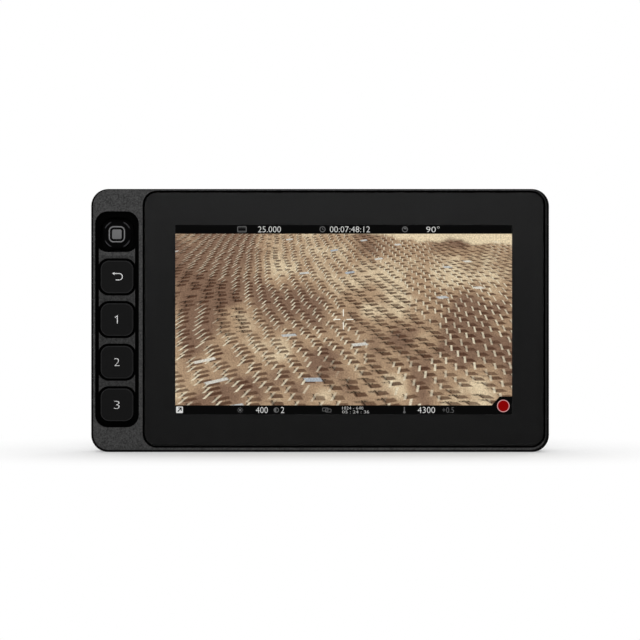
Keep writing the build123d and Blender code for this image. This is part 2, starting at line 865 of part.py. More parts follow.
def housing_bosses():
    """Everything that stands inside the shell: battery seat, bosses, posts and cooling pad."""
    seat = panel(plate_width + 2 * seat_margin, plate_height + 2 * seat_margin, plate_radius, 0, plate_z)
    bosses = along_y(seat, seat_inner_y, hump_inner_y)
    bosses += along_y(
        joined([disc(plate_boss_r, x, z) for x, z in plate_screws]), seat_inner_y - plate_boss_height, seat_y
    )
    board = joined([disc(post_r, x, z) for x, z in board_posts])
    bosses += along_y(board, board_rear_y, hump_inner_y)
    bracket = joined([disc(post_r, x, latch_z) for x in bracket_screw_xs])
    bosses += along_y(bracket, bracket_rear_y, hump_inner_y)
    bosses += along_y(
        panel(processor_size, processor_size, board_radius, processor_x, processor_z),
        board_rear_y + processor_height + thermal_pad_thickness,
        hump_inner_y,
    )
    pads = joined([disc(housing_boss_r, x, z) for x, z in housing_screws]) & cavity_outline
    return bosses + along_y(pads, parting_y, flange_inner_y)


def housing_holes():
    """The battery seat, its openings for contacts and latch, and every screw hole."""
    plate = panel(plate_width, plate_height, plate_radius, 0, plate_z)
    holes = along_y(offset(plate, plate_gap), seat_y, hump_rear_y)
    contact_half = blade_pitch + 2 * blade_thickness
    holes += block(-contact_half, contact_half, seat_inner_y, seat_y, tail_z - 1.5, tail_z + 1.5)
    holes += block(
        -latch_hole_half_width,
        latch_hole_half_width,
        seat_inner_y,
        seat_y,
        latch_z - latch_hole_half_height,
        latch_z + latch_hole_half_height,
    )
    button = panel(latch_button_width, latch_button_height, latch_button_radius, latch_button_x, latch_z)
    holes += along_y(offset(button, latch_gap), hump_inner_y, hump_rear_y)
    head_y = flange_rear_y - housing_head_height
    holes += along_y(
        joined([disc(housing_screw_r + screw_hole_gap, x, z) for x, z in housing_screws]), parting_y, head_y
    )
    heads = joined([disc(housing_head_r + head_gap, x, z) for x, z in housing_screws])
    holes += along_y(heads, head_y, flange_rear_y)
    plate_tip_y = plate_face_y - plate_screw_sink - plate_screw_length - tip_gap
    plate_holes = joined([disc(housing_screw_r + screw_gap, x, z) for x, z in plate_screws])
    holes += along_y(plate_holes, plate_tip_y, seat_y)
    post_holes = joined([disc(small_screw_r + screw_gap, x, z) for x, z in board_posts])
    holes += along_y(post_holes, board_rear_y, board_front_y + small_screw_length + tip_gap)
    bracket_holes = joined([disc(small_screw_r + screw_gap, x, latch_z) for x in bracket_screw_xs])
    holes += along_y(bracket_holes, bracket_rear_y, bracket_front_y + small_screw_length + tip_gap)
    return holes + mount_windows()


def mount_windows():
    """The windows in the bottom and top walls that the mounting blocks fill, and their screw holes."""
    window = Pos(0, mount_y) * Rectangle(mount_tongue_width + 2 * mount_gap, mount_depth + 2 * mount_gap)
    lower = along_z(window, 0, wall)
    screw_tip_z = wall + mount_flange_thickness - small_screw_length - tip_gap
    for side in (-1, 1):
        hole = disc(small_screw_r + screw_gap, side * mount_screw_x, mount_y)
        lower += along_z(hole, screw_tip_z, wall)
    return lower + upside_down(lower)


def cooling_grooves():
    """Rows of round-ended grooves on both sides of the battery."""
    slot = SlotOverall(fin_length, fin_groove)
    rows = [fin_bottom_z + fin_pitch * row for row in range(fin_count)]
    return joined([Pos(x, z) * slot for x in (-fin_x, fin_x) for z in rows])


def port_holes():
    """Openings in the side walls, each the outline of its port and a gap."""
    right = (inner_side_x, side_x)
    left = (-side_x, -inner_side_x)
    holes = along_x(joined([disc(bnc_shell_r + bnc_hole_gap, bnc_axis_y, z) for z in bnc_zs]), *right)
    holes += along_x(joined([hdmi_outline(z, port_gap) for z in hdmi_zs]), *right)
    card_slot = Pos(board_rear_y + reader_height / 2, card_slot_z) * Rectangle(
        card_thickness + 2 * card_slot_gap, card_width + 2 * card_slot_gap
    )
    holes += along_x(card_slot, *left)
    holes += along_x(disc(power_socket_r + power_socket_hole_gap, power_socket_y, power_socket_z), *left)
    holes += along_x(usb_outline(port_gap), *left)
    holes += along_x(disc(headphone_collar_r + bnc_hole_gap, headphone_y, headphone_z), *left)
    return holes + along_x(disc(power_button_r + power_button_gap, power_button_y, power_button_z), *left)


# ---------------------------------------------------------------- battery plate and latch
def make_battery_plate():
    """A slide-in battery plate: two rails with hooks, a contact block, and a hole for the latch."""
    plate = along_y(panel(plate_width, plate_height, plate_radius, 0, plate_z), seat_y, plate_face_y)
    low = plate_bottom_z + rail_inset
    high = plate_bottom_z + plate_height - rail_inset
    outer = plate_width / 2
    inner = outer - rail_width
    rail = block(inner, outer, plate_face_y, plate_face_y + rail_low, low, high)
    for z in hook_zs:
        z0, z1 = z - hook_length / 2, z + hook_length / 2
        rail += block(inner, outer, plate_face_y, rear_y, z0, z1)
        rail += block(inner - hook_reach, outer, rear_y - hook_thickness, rear_y, z0, z1)
    plate += rail + mirror(rail, Plane.YZ)
    contact_block = panel(
        contact_block_width,
        contact_block_height,
        contact_block_radius,
        0,
        contact_block_bottom_z + contact_block_height / 2,
    )
    plate += along_y(contact_block, plate_face_y, rear_y)
    plate = chamfer(edges_at(plate, Axis.Y, rear_y), rail_chamfer)
    plate -= joined([contact_blade(x, blade_gap) for x in blade_xs])
    plate -= block(
        -latch_hole_half_width,
        latch_hole_half_width,
        seat_y,
        plate_face_y,
        latch_z - latch_hole_half_height,
        latch_z + latch_hole_half_height,
    )
    head_y = plate_face_y - plate_screw_sink
    shanks = joined([disc(housing_screw_r + screw_hole_gap, x, z) for x, z in plate_screws])
    plate -= along_y(shanks, seat_y, head_y)
    heads = joined([disc(housing_head_r + screw_hole_gap, x, z) for x, z in plate_screws])
    return plate - along_y(heads, head_y, plate_face_y)


def contact_blade(x, grow=0.0):
    """One contact: a blade that points up into the battery, and a tail through the plate."""
    half = blade_thickness / 2 + grow
    blade_half = blade_depth / 2 + grow
    tail_low = tail_z - tail_thickness / 2 - grow
    blade_top_z = contact_block_bottom_z + contact_block_height + blade_length
    blade = block(x - half, x + half, blade_y - blade_half, blade_y + blade_half, tail_low, blade_top_z)
    tail_high = tail_z + tail_thickness / 2 + grow
    return blade + block(x - half, x + half, seat_inner_y - tail_length, blade_y, tail_low, tail_high)


def make_battery_leads():
    """Three flat conductors from the contact tails up behind the main board, then into it."""
    start_y = seat_inner_y - tail_length
    half = lead_thickness / 2
    side = Polyline(
        (start_y, tail_z - half),
        (start_y, tail_z + half),
        (lead_y + half, tail_z + half),
        (lead_y + half, lead_board_z + half),
        (board_rear_y, lead_board_z + half),
        (board_rear_y, lead_board_z - half),
        (lead_y - half, lead_board_z - half),
        (lead_y - half, tail_z - half),
        close=True,
    )
    lead = make_face(side)
    return Compound([along_x(lead, x - lead_width / 2, x + lead_width / 2) for x in blade_xs])


def make_battery_latch():
    """A bar behind the plate with the catch at one end and the release button at the other."""
    half = latch_bar_height / 2
    latch = block(
        latch_left_x, latch_right_x, latch_bar_front_y, latch_bar_rear_y, latch_z - half, latch_z + half
    )
    low = latch_z - latch_tab_height / 2
    high = latch_z + latch_tab_height / 2
    catch_y = plate_face_y + latch_tab_proud
    catch = Polyline(
        (latch_bar_rear_y, low),
        (catch_y, low),
        (catch_y, low + latch_tab_land),
        (plate_face_y - slack, high),
        (latch_bar_rear_y, high),
        close=True,
    )
    latch += along_x(make_face(catch), -latch_tab_width / 2, latch_tab_width / 2)
    neck_end_y = hump_inner_y - latch_gap
    latch += along_y(
        Pos(latch_button_x, latch_z) * Rectangle(latch_neck, latch_neck), latch_bar_rear_y, neck_end_y
    )
    button_y = hump_rear_y + latch_button_proud
    outline = panel(latch_button_width, latch_button_height, latch_button_radius, latch_button_x, latch_z)
    button = along_y(outline, neck_end_y, button_y)
    return latch + fillet(edges_at(button, Axis.Y, button_y), latch_button_round)


def make_latch_bracket():
    left_x, right_x = bracket_screw_xs
    plate = panel(
        right_x - left_x + 2 * bracket_margin, bracket_height, bracket_margin, (left_x + right_x) / 2, latch_z
    )
    plate -= joined([disc(small_screw_r + screw_hole_gap, x, latch_z) for x in bracket_screw_xs])
    bracket = along_y(plate, bracket_front_y, bracket_rear_y)
    reach = spring_length / 2 + spring_gap
    stop = block(
        spring_x + reach,
        spring_x + reach + spring_stop,
        bracket_rear_y,
        bracket_rear_y + spring_stop,
        latch_z - bracket_height / 2,
        latch_z + bracket_height / 2,
    )
    return bracket + stop + mirror(stop, Plane.YZ.offset(spring_x))


def make_latch_spring():
    """A bowed leaf between the bracket and the latch, which pushes the latch outwards."""
    half = spring_length / 2
    foot_y = bracket_rear_y
    crown_y = latch_bar_front_y - spring_gap
    left, right = spring_x - half, spring_x + half
    inner = ThreePointArc((left, foot_y), (spring_x, crown_y - spring_strip), (right, foot_y))
    outer = inner.moved(Pos(0, spring_strip))
    leaf = make_face([outer, inner, Line(outer @ 0, inner @ 0), Line(outer @ 1, inner @ 1)])
    return along_z(leaf, latch_z - spring_width / 2, latch_z + spring_width / 2)


# ---------------------------------------------------------------- main board
def make_main_board():
    height = board_top_z - board_bottom_z
    board = panel(board_width, height, board_radius, 0, (board_bottom_z + board_top_z) / 2)
    board -= joined([disc(small_screw_r + screw_hole_gap, x, z) for x, z in board_posts])
    return along_y(board, board_front_y, board_rear_y)


def make_processor():
    outline = Pos(processor_x, processor_z) * Rectangle(processor_size, processor_size)
    return along_y(outline, board_rear_y, board_rear_y + processor_height)


def make_thermal_pad():
    outline = Pos(processor_x, processor_z) * Rectangle(processor_size, processor_size)
    front_face_y = board_rear_y + processor_height
    return along_y(outline, front_face_y, front_face_y + thermal_pad_thickness)


def make_board_chips():
    chips = [Pos(x, z) * Rectangle(*memory_size) for x, z in memory_places]
    chips += [Pos(x, z) * Rectangle(*converter_size) for x, z in converter_places]
    return Compound([along_y(chip, board_rear_y, board_rear_y + chip_height) for chip in chips])


def make_ribbons():
    """Flexible circuits: one from the display round its backlight, one from the key board."""
    cell_y = glass_rear_y + slack
    low = cell_bottom_z - display_ribbon_drop
    side = Polyline(
        (cell_y, cell_bottom_z),
        (cell_y, low),
        (display_ribbon_y, low),
        (display_ribbon_y, display_ribbon_top_z),
        (display_ribbon_y - ribbon_thickness, display_ribbon_top_z),
        (display_ribbon_y - ribbon_thickness, low + ribbon_thickness),
        (cell_y + ribbon_thickness, low + ribbon_thickness),
        (cell_y + ribbon_thickness, cell_bottom_z),
        close=True,
    )
    half = display_ribbon_width / 2
    display = along_x(make_face(side), glass_x - half, glass_x + half)
    keys = block(
        key_ribbon_left_x,
        key_ribbon_right_x,
        key_board_rear_y,
        key_board_rear_y + ribbon_thickness,
        key_ribbon_z - key_ribbon_width / 2,
        key_ribbon_z + key_ribbon_width / 2,
    )
    return Compound([display, keys])


def make_ribbon_sockets():
    """The two sockets on the front of the main board that the ribbons plug into."""
    half = display_ribbon_width / 2 + socket_margin
    display = block(
        glass_x - half,
        glass_x + half,
        display_ribbon_y,
        board_front_y,
        display_ribbon_top_z - socket_depth,
        display_ribbon_top_z,
    )
    half = key_ribbon_width / 2 + socket_margin
    keys = block(
        key_ribbon_right_x - socket_depth,
        key_ribbon_right_x,
        key_board_rear_y + ribbon_thickness,
        board_front_y,
        key_ribbon_z - half,
        key_ribbon_z + half,
    )
    return Compound([display, keys])


# ---------------------------------------------------------------- ports on the right
def make_sdi_jack(z):
    """A bulkhead video jack: bayonet shell outside, square shoulder and tail inside."""
    jack = along_x(disc(bnc_shell_r, bnc_axis_y, z), inner_side_x, bnc_tip_x)
    jack = chamfer(edges_at(jack, Axis.X, bnc_tip_x), bnc_lip)
    lug_half = bnc_shell_r + bnc_lug_height
    jack += along_z(disc(bnc_lug_r, bnc_tip_x - bnc_lug_inset, bnc_axis_y), z - lug_half, z + lug_half)
    jack += block(
        inner_side_x - bnc_shoulder_depth,
        inner_side_x,
        bnc_axis_y - bnc_shoulder_front,
        bnc_axis_y + bnc_shoulder_rear,
        z - bnc_shoulder_side,
        z + bnc_shoulder_side,
    )
    jack += along_x(disc(bnc_tail_r, bnc_axis_y, z), bnc_tail_x, inner_side_x)
    jack -= along_x(disc(bnc_bore_r, bnc_axis_y, z), bnc_tip_x - bnc_cup_depth, bnc_tip_x)
    return jack - along_x(disc(bnc_insulator_r + press_gap, bnc_axis_y, z), bnc_tail_x, bnc_tip_x)


def make_sdi_insulators():
    tubes = [
        disc(bnc_insulator_r, bnc_axis_y, z) - disc(bnc_contact_r + press_gap, bnc_axis_y, z) for z in bnc_zs
    ]
    return Compound([along_x(tube, bnc_tail_x, bnc_tip_x - bnc_insulator_inset) for tube in tubes])


def make_sdi_contacts():
    """The centre pins of the two video jacks, bored at the outer end."""
    pins = []
    end_x = bnc_tip_x - bnc_contact_inset
    for z in bnc_zs:
        pin = along_x(disc(bnc_contact_r, bnc_axis_y, z), bnc_tail_x, end_x)
        bore = along_x(disc(bnc_contact_bore_r, bnc_axis_y, z), end_x - bnc_contact_bore_depth, end_x)
        pins.append(pin - bore)
    return Compound(pins)


def make_sdi_nuts():
    nuts = []
    for z in bnc_zs:
        hexagon = Pos(bnc_axis_y, z) * RegularPolygon(bnc_nut_width / 2, 6, major_radius=False)
        ring = hexagon - disc(bnc_shell_r + press_gap, bnc_axis_y, z)
        nuts.append(along_x(ring, side_x, side_x + bnc_nut_thickness))
    return Compound(nuts)


def make_sdi_leads():
    """Two short coaxial leads from the jacks' tails to the main board."""
    leads = []
    for z in bnc_zs:
        route = FilletPolyline(
            (bnc_tail_x, bnc_axis_y, z),
            (sdi_lead_x, bnc_axis_y, z),
            (sdi_lead_x, board_rear_y, z),
            radius=sdi_lead_bend_r,
        )
        start = Plane(origin=(bnc_tail_x, bnc_axis_y, z), z_dir=(-1, 0, 0))
        leads.append(sweep(start * Circle(sdi_lead_r), route))
    return Compound(leads)


def hdmi_outline(z, grow=0.0):
    """The socket's outline in Y and Z, with two of its corners cut."""
    side = hdmi_width / 2 + grow
    low = board_rear_y - grow
    high = board_rear_y + hdmi_height + grow
    outline = Polyline(
        (low, z - side + hdmi_corner),
        (low, z + side - hdmi_corner),
        (low + hdmi_corner, z + side),
        (high, z + side),
        (high, z - side),
        (low + hdmi_corner, z - side),
        close=True,
    )
    return make_face(outline)


def make_hdmi_ports():
    ports = []
    for z in hdmi_zs:
        shell = along_x(hdmi_outline(z), hdmi_inner_x, hdmi_mouth_x)
        hollow = along_x(hdmi_outline(z, -hdmi_sheet), hdmi_inner_x + hdmi_sheet, hdmi_mouth_x)
        ports.append(shell - hollow)
    return Compound(ports)


# ---------------------------------------------------------------- ports on the left
def usb_outline(grow=0.0):
    height = usb_height + 2 * grow
    return Pos(usb_y, usb_z) * Rot(0, 0, 90) * SlotOverall(usb_width + 2 * grow, height)


def make_usb_port():
    shell = along_x(usb_outline(), usb_mouth_x, usb_mouth_x + usb_length)
    return shell - along_x(usb_outline(-usb_sheet), usb_mouth_x, usb_mouth_x + usb_length - usb_sheet)


def make_port_tongues():
    """The contact tongues inside the two video sockets and the small round-ended one."""
    tongues = []
    for z in hdmi_zs:
        carrier_start = hdmi_inner_x + hdmi_sheet
        carrier_end = carrier_start + hdmi_carrier
        carrier = along_x(hdmi_outline(z, -hdmi_sheet - press_gap), carrier_start, carrier_end)
        blade = Pos(hdmi_y, z) * Rectangle(hdmi_tongue_thickness, hdmi_tongue_width)
        tongues.append(carrier + along_x(blade, carrier_end, hdmi_mouth_x - hdmi_tongue_inset))
    carrier_end = usb_mouth_x + usb_length - usb_sheet
    carrier_start = carrier_end - usb_carrier
    carrier = along_x(usb_outline(-usb_sheet - press_gap), carrier_start, carrier_end)
    blade = Pos(usb_y, usb_z) * Rectangle(usb_tongue_thickness, usb_tongue_width)
    tongues.append(carrier + along_x(blade, usb_mouth_x + usb_tongue_inset, carrier_start))
    return Compound(tongues)


def make_card_reader():
    middle_y = board_rear_y + reader_height / 2
    case = Pos(middle_y, card_slot_z) * Rectangle(reader_height, reader_width)
    slot = Pos(middle_y, card_slot_z) * Rectangle(card_thickness, card_width)
    reader = along_x(case, -inner_side_x, -inner_side_x + reader_length)
    return reader - along_x(slot, -inner_side_x, -inner_side_x + reader_length - reader_end_wall)


def make_power_socket():
    """A round two-pin push-pull socket with a keyway, clamped in the wall by its nut."""
    middle = (power_socket_y, power_socket_z)
    socket = along_x(disc(power_socket_r, *middle), power_socket_mouth_x, -inner_side_x + power_socket_tail)
    shoulder = disc(power_socket_shoulder_r, *middle)
    socket += along_x(shoulder, -inner_side_x, -inner_side_x + power_socket_shoulder)
    bore_end_x = power_socket_mouth_x + power_socket_bore_depth
    socket -= along_x(disc(power_socket_bore_r, *middle), power_socket_mouth_x, bore_end_x)
    keyway_y = power_socket_y + power_socket_bore_r + power_socket_key_height / 2
    keyway = Pos(keyway_y, power_socket_z) * Rectangle(2 * power_socket_key_height, power_socket_key_width)
    return socket - along_x(keyway, power_socket_mouth_x, bore_end_x)


def make_power_socket_nut():
    middle = (power_socket_y, power_socket_z)
    ring = disc(power_socket_nut_r, *middle) - disc(power_socket_r + press_gap, *middle)
    outer_x = -side_x - power_socket_nut_thickness
    nut = along_x(ring, outer_x, -side_x)
    bar = Rectangle(2 * power_socket_nut_r + 1, power_socket_notch)
    notches = Pos(*middle) * (bar + Rot(0, 0, 90) * bar)
    return nut - along_x(notches, outer_x, outer_x + power_socket_notch_depth)


def make_power_pins():
    start_x = power_socket_mouth_x + power_pin_inset
    end_x = power_socket_mouth_x + power_socket_bore_depth
    zs = (power_socket_z - power_pin_spacing / 2, power_socket_z + power_pin_spacing / 2)
    return Compound([along_x(disc(power_pin_r, power_socket_y, z), start_x, end_x) for z in zs])


def make_headphone_jack():
    mouth_x = -side_x - headphone_collar_proud
    end_x = -side_x + headphone_length
    case = Pos(headphone_y, headphone_z) * Rectangle(headphone_body_depth, headphone_body_width)
    jack = along_x(case, -inner_side_x, end_x)
    jack += along_x(disc(headphone_collar_r, headphone_y, headphone_z), mouth_x, -inner_side_x)
    return jack - along_x(disc(headphone_bore_r, headphone_y, headphone_z), mouth_x, end_x - usb_carrier)


def make_power_button():
    """A round side button, kept in by a flange behind the wall, with a tip for its switch."""
    middle = (power_button_y, power_button_z)
    face_x = -side_x - power_button_proud
    flange_x = -inner_side_x + tip_gap
    button = along_x(disc(power_button_r, *middle), face_x, flange_x)
    button = fillet(edges_at(button, Axis.X, face_x), power_button_round)
    button += along_x(disc(power_button_flange_r, *middle), flange_x, flange_x + power_button_flange)
    tip_x = flange_x + power_button_flange
    return button + along_x(disc(power_button_tip_r, *middle), tip_x, tip_x + power_button_tip_length)


def make_power_switch():
    case = block(
        power_switch_x,
        power_switch_x + power_switch_depth,
        board_rear_y,
        board_rear_y + power_switch_height,
        power_button_z - power_switch_width / 2,
        power_button_z + power_switch_width / 2,
    )
    bore = disc(power_button_tip_r + screw_hole_gap, power_button_y, power_button_z)
    return case - along_x(bore, power_switch_x, power_switch_x + power_switch_bore_depth)


# ---------------------------------------------------------------- mounting blocks
def make_mount_block():
    """A steel block in the wall: a screw thread between two holes for locating pins."""
    half_tongue, half_flange, half_boss = mount_tongue_width / 2, mount_flange_width / 2, mount_boss_width / 2
    flange_top_z = wall + mount_flange_thickness
    side = Polyline(
        (-half_tongue, 0),
        (half_tongue, 0),
        (half_tongue, wall),
        (half_flange, wall),
        (half_flange, flange_top_z),
        (half_boss, flange_top_z),
        (half_boss, mount_height),
        (-half_boss, mount_height),
        (-half_boss, flange_top_z),
        (-half_flange, flange_top_z),
        (-half_flange, wall),
        (-half_tongue, wall),
        close=True,
    )
    part = along_y(make_face(side), mount_y - mount_depth / 2, mount_y + mount_depth / 2)
    part -= along_z(disc(mount_thread_r, 0, mount_y), 0, mount_thread_depth)
    for side in (-1, 1):
        part -= along_z(disc(mount_pin_r, side * mount_pin_x, mount_y), 0, mount_pin_depth)
        screw_hole = disc(small_screw_r + screw_hole_gap, side * mount_screw_x, mount_y)
        part -= along_z(screw_hole, wall, flange_top_z)
    return part


# ---------------------------------------------------------------- screws
def make_housing_screws():
    part = driven_to_front * socket_screw(
        housing_screw_r, housing_screw_length, housing_head_r, housing_head_height - slack
    )
    return Compound([Pos(x, flange_rear_y - housing_head_height, z) * part for x, z in housing_screws])


def make_plate_screws():
    part = driven_to_front * socket_screw(
        housing_screw_r, plate_screw_length, housing_head_r, plate_screw_sink - slack
    )
    return Compound([Pos(x, plate_face_y - plate_screw_sink, z) * part for x, z in plate_screws])


def make_small_screws():
    """The screws of the heat spreader, key board, main board, latch bracket and mounting blocks."""
    part = screw(small_screw_r, small_screw_length, small_head_r, small_head_height)
    slot = Rectangle(small_cross_length, small_cross_width)
    cross = slot + Rot(0, 0, 90) * slot
    part -= along_z(cross, small_head_height * (1 - drive_share), small_head_height)
    screws = [Pos(x, spreader_rear_y, z) * driven_to_front * part for x, z in spreader_screws]
    screws += [Pos(strip_x, key_board_rear_y, z) * driven_to_front * part for z in key_board_screw_zs]
    screws += [Pos(x, board_front_y, z) * driven_to_back * part for x, z in board_posts]
    screws += [Pos(x, bracket_front_y, latch_z) * driven_to_back * part for x in bracket_screw_xs]
    for side in (-1, 1):
        lower = Pos(side * mount_screw_x, mount_y, wall + mount_flange_thickness) * part
        screws += [lower, upside_down(lower)]
    return Compound(screws)


# ---------------------------------------------------------------- write the nodes
nodes = {
    "front_frame": make_front_frame(),
    "cover_glass": make_cover_glass(),
    "glass_adhesive": make_glass_adhesive(),
    "lcd_cell": make_lcd_cell(),
    "backlight_tray": make_backlight_tray(),
    "light_guide": make_light_guide(),
    "led_bar": make_led_bar(),
    "heat_spreader": make_heat_spreader(),
    "keypad_seal": make_keypad_seal(),
    "key_switches": make_key_switches(),
    "key_board": make_key_board(),
    "joystick_switch": make_joystick_switch(),
    "joystick_cover": make_joystick_cover(),
    "joystick_yoke": make_joystick_yoke(),
    "joystick_hub": make_joystick_hub(),
    "joystick_cap": make_joystick_cap(),
    "joystick_tip": make_joystick_tip(),
    "housing_gasket": make_housing_gasket(),
    "rear_housing": make_rear_housing(),
    "battery_plate": make_battery_plate(),
    "battery_contacts": Compound([contact_blade(x) for x in blade_xs]),
    "battery_leads": make_battery_leads(),
    "battery_latch": make_battery_latch(),
    "latch_bracket": make_latch_bracket(),
    "latch_spring": make_latch_spring(),
    "main_board": make_main_board(),
    "processor": make_processor(),
    "thermal_pad": make_thermal_pad(),
    "board_chips": make_board_chips(),
    "ribbons": make_ribbons(),
    "ribbon_sockets": make_ribbon_sockets(),
    "sdi_out_jack": make_sdi_jack(bnc_zs[0]),
    "sdi_in_jack": make_sdi_jack(bnc_zs[1]),
    "sdi_insulators": make_sdi_insulators(),
    "sdi_contacts": make_sdi_contacts(),
    "sdi_nuts": make_sdi_nuts(),
    "sdi_leads": make_sdi_leads(),
    "hdmi_ports": make_hdmi_ports(),
    "port_tongues": make_port_tongues(),
    "usb_port": make_usb_port(),
    "card_reader": make_card_reader(),
    "power_socket": make_power_socket(),
    "power_socket_nut": make_power_socket_nut(),
    "power_pins": make_power_pins(),
    "headphone_jack": make_headphone_jack(),
    "power_button": make_power_button(),
    "power_switch": make_power_switch(),
    "bottom_mount_block": make_mount_block(),
    "top_mount_block": upside_down(make_mount_block()),
    "housing_screws": make_housing_screws(),
    "plate_screws": make_plate_screws(),
    "small_screws": make_small_screws(),
}
key_names = ("function_key_3", "function_key_2", "function_key_1", "back_key")
for name, z in zip(key_names, key_zs):
    nodes[name] = make_key_cap(z)
    nodes[f"{name}_pusher"] = make_key_pusher(z)

for name, shape in nodes.items():
    export_step(shape, f"parts/{name}.step")
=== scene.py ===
# %% [markdown]
# A five-inch field monitor. The solid model comes first and is never changed here:
# this lesson gives every solid a finish, and adds what is too fine for solids, such as
# the ink behind the glass, the lit picture, the key legends and the screw threads.
# Blender's lengths are metres, and MM turns millimetres into them. X runs to the right of
# the screen, Y to the back, Z up.

# %% Load the solid model
import math
from functools import partialmethod

import bmesh
import bpy
from mathutils import Matrix, Vector


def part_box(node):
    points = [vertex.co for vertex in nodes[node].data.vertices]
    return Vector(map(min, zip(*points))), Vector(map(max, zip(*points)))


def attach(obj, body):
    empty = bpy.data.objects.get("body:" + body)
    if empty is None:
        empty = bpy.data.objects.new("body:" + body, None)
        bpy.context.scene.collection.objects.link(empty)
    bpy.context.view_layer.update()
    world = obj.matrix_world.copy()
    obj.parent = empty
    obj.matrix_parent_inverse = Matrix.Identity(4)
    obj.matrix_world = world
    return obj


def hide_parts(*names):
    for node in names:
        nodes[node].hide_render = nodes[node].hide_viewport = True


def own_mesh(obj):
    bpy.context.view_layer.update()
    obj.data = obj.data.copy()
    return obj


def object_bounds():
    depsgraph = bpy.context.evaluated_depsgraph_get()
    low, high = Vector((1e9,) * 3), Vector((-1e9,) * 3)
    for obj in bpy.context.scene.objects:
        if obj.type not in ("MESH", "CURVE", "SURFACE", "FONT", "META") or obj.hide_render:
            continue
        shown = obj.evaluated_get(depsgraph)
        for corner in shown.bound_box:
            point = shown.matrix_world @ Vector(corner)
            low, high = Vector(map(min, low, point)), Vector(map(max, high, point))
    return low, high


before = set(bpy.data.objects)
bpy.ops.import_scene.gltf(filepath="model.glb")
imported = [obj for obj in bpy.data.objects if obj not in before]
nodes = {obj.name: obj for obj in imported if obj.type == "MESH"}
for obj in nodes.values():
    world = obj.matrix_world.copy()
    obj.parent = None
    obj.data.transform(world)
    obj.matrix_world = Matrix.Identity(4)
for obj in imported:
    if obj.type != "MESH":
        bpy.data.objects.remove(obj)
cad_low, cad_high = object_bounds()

MM = 0.001
print("size in mm:", [round((high - low) / MM, 2) for low, high in zip(cad_low, cad_high)])

# %% [markdown]
# A finish is a small tree of shader nodes. Written node by node it is long to read, so a
# Wire stands for one output of the tree and can be added, multiplied or compared as a
# number can. Each sign makes one Math node, and the tree reads as a formula.


# %% Wires: shader nodes written as arithmetic
def fill_inputs(node, inputs):
    """Links or sets a node's inputs, by place in a tuple or by name in a dict."""
    for title, value in inputs.items() if isinstance(inputs, dict) else enumerate(inputs):
        if isinstance(value, Wire):
            node.id_data.links.new(value.socket, node.inputs[title])
        else:
            node.inputs[title].default_value = value


def made(tree, kind, inputs=(), output=0, **settings):
    """The wire out of a new shader node."""
    node = tree.nodes.new("ShaderNode" + kind)
    for title, value in settings.items():
        setattr(node, title, value)
    fill_inputs(node, inputs)
    return Wire(tree, node.outputs[output])


class Wire:
    def __init__(self, tree, socket):
        self.tree = tree
        self.socket = socket

    def apply(self, operation, *others):
        """The wire after one Math node, which may also take other wires or numbers."""
        return made(self.tree, "Math", (self, *others), operation=operation)

    # Each of these is apply with its operation filled in. Python uses the first four for
    # the signs + - * and /.
    __add__ = partialmethod(apply, "ADD")
    __sub__ = partialmethod(apply, "SUBTRACT")
    __mul__ = partialmethod(apply, "MULTIPLY")
    __truediv__ = partialmethod(apply, "DIVIDE")
    size = partialmethod(apply, "ABSOLUTE")
    most = partialmethod(apply, "MAXIMUM")
    least = partialmethod(apply, "MINIMUM")
    over = partialmethod(apply, "GREATER_THAN")

    def rise(self, low, high):
        """0 below low, 1 above high, and a smooth step between them."""
        inputs = {"Value": self, "From Min": low, "From Max": high}
        return made(self.tree, "MapRange", inputs, "Result", interpolation_type="SMOOTHSTEP")

    def parts(self):
        """The three parts of a point or a colour."""
        node = made(self.tree, "SeparateXYZ", (self,)).socket.node
        return [Wire(self.tree, socket) for socket in node.outputs]


# %% [markdown]
# A pattern starts from the point that is being shaded. Taken in the piece's own metres, it
# stays on a piece that moves. Noise gives clouds and grain, and Voronoi cells give things
# that repeat without being alike.


# %% Patterns
def place(tree):
    """The point being shaded, in metres, as the piece's own coordinates."""
    return made(tree, "TexCoord", output="Object")


def vector(tree, x, y, z=0.0):
    return made(tree, "CombineXYZ", (x, y, z))


def stretched(point, along):
    """The point with each axis multiplied, so that a pattern is longer along one of them."""
    return made(point.tree, "VectorMath", (point, along), operation="MULTIPLY")


def noise(point, size, detail=2.0, roughness=0.5, flat=False):
    """Cloudy noise from 0 to 1, whose lumps are about this size in the point's units."""
    inputs = {"Vector": point, "Scale": 1 / size, "Detail": detail, "Roughness": roughness}
    return made(point.tree, "TexNoise", inputs, "Fac", noise_dimensions="2D" if flat else "3D")


def cells(point, size, randomness):
    """Scattered cells: the offset from the cell's middle in X and Y, and two random numbers."""
    inputs = {"Vector": point, "Scale": 1 / size, "Randomness": randomness}
    middle = made(point.tree, "TexVoronoi", inputs, "Position", voronoi_dimensions="2D")
    lots = Wire(point.tree, middle.socket.node.outputs["Color"]).parts()
    offsets = [here - there for here, there in zip(point.parts()[:2], middle.parts())]
    return *offsets, lots[0], lots[1]


# %% [markdown]
# A number between 0 and 1 is a share: it blends two colours, or dims one. Outlines are
# shares too, made from how far a point lies from them.


# %% Shares and colours
def blend(share, low, high):
    """A colour between two, which are inputs 6 and 7 of a Mix node and come out at 2."""
    low, high = (colour if isinstance(colour, Wire) else (*colour, 1.0) for colour in (low, high))
    return made(share.tree, "Mix", {0: share, 6: low, 7: high}, 2, data_type="RGBA")


def dimmed(colour, tone):
    """A colour, or a wire of one, made lighter or darker by a wire."""
    return made(tone.tree, "VectorMath", {0: colour, "Scale": tone}, operation="SCALE")


def block(x, y, wide, high, soft=0.05):
    """1 inside a rectangle about the middle and 0 outside it, with soft edges."""
    return x.size().rise(wide + soft, wide - soft) * y.size().rise(high + soft, high - soft)


def hypotenuse(x, y):
    return (x * x + y * y).apply("SQRT")


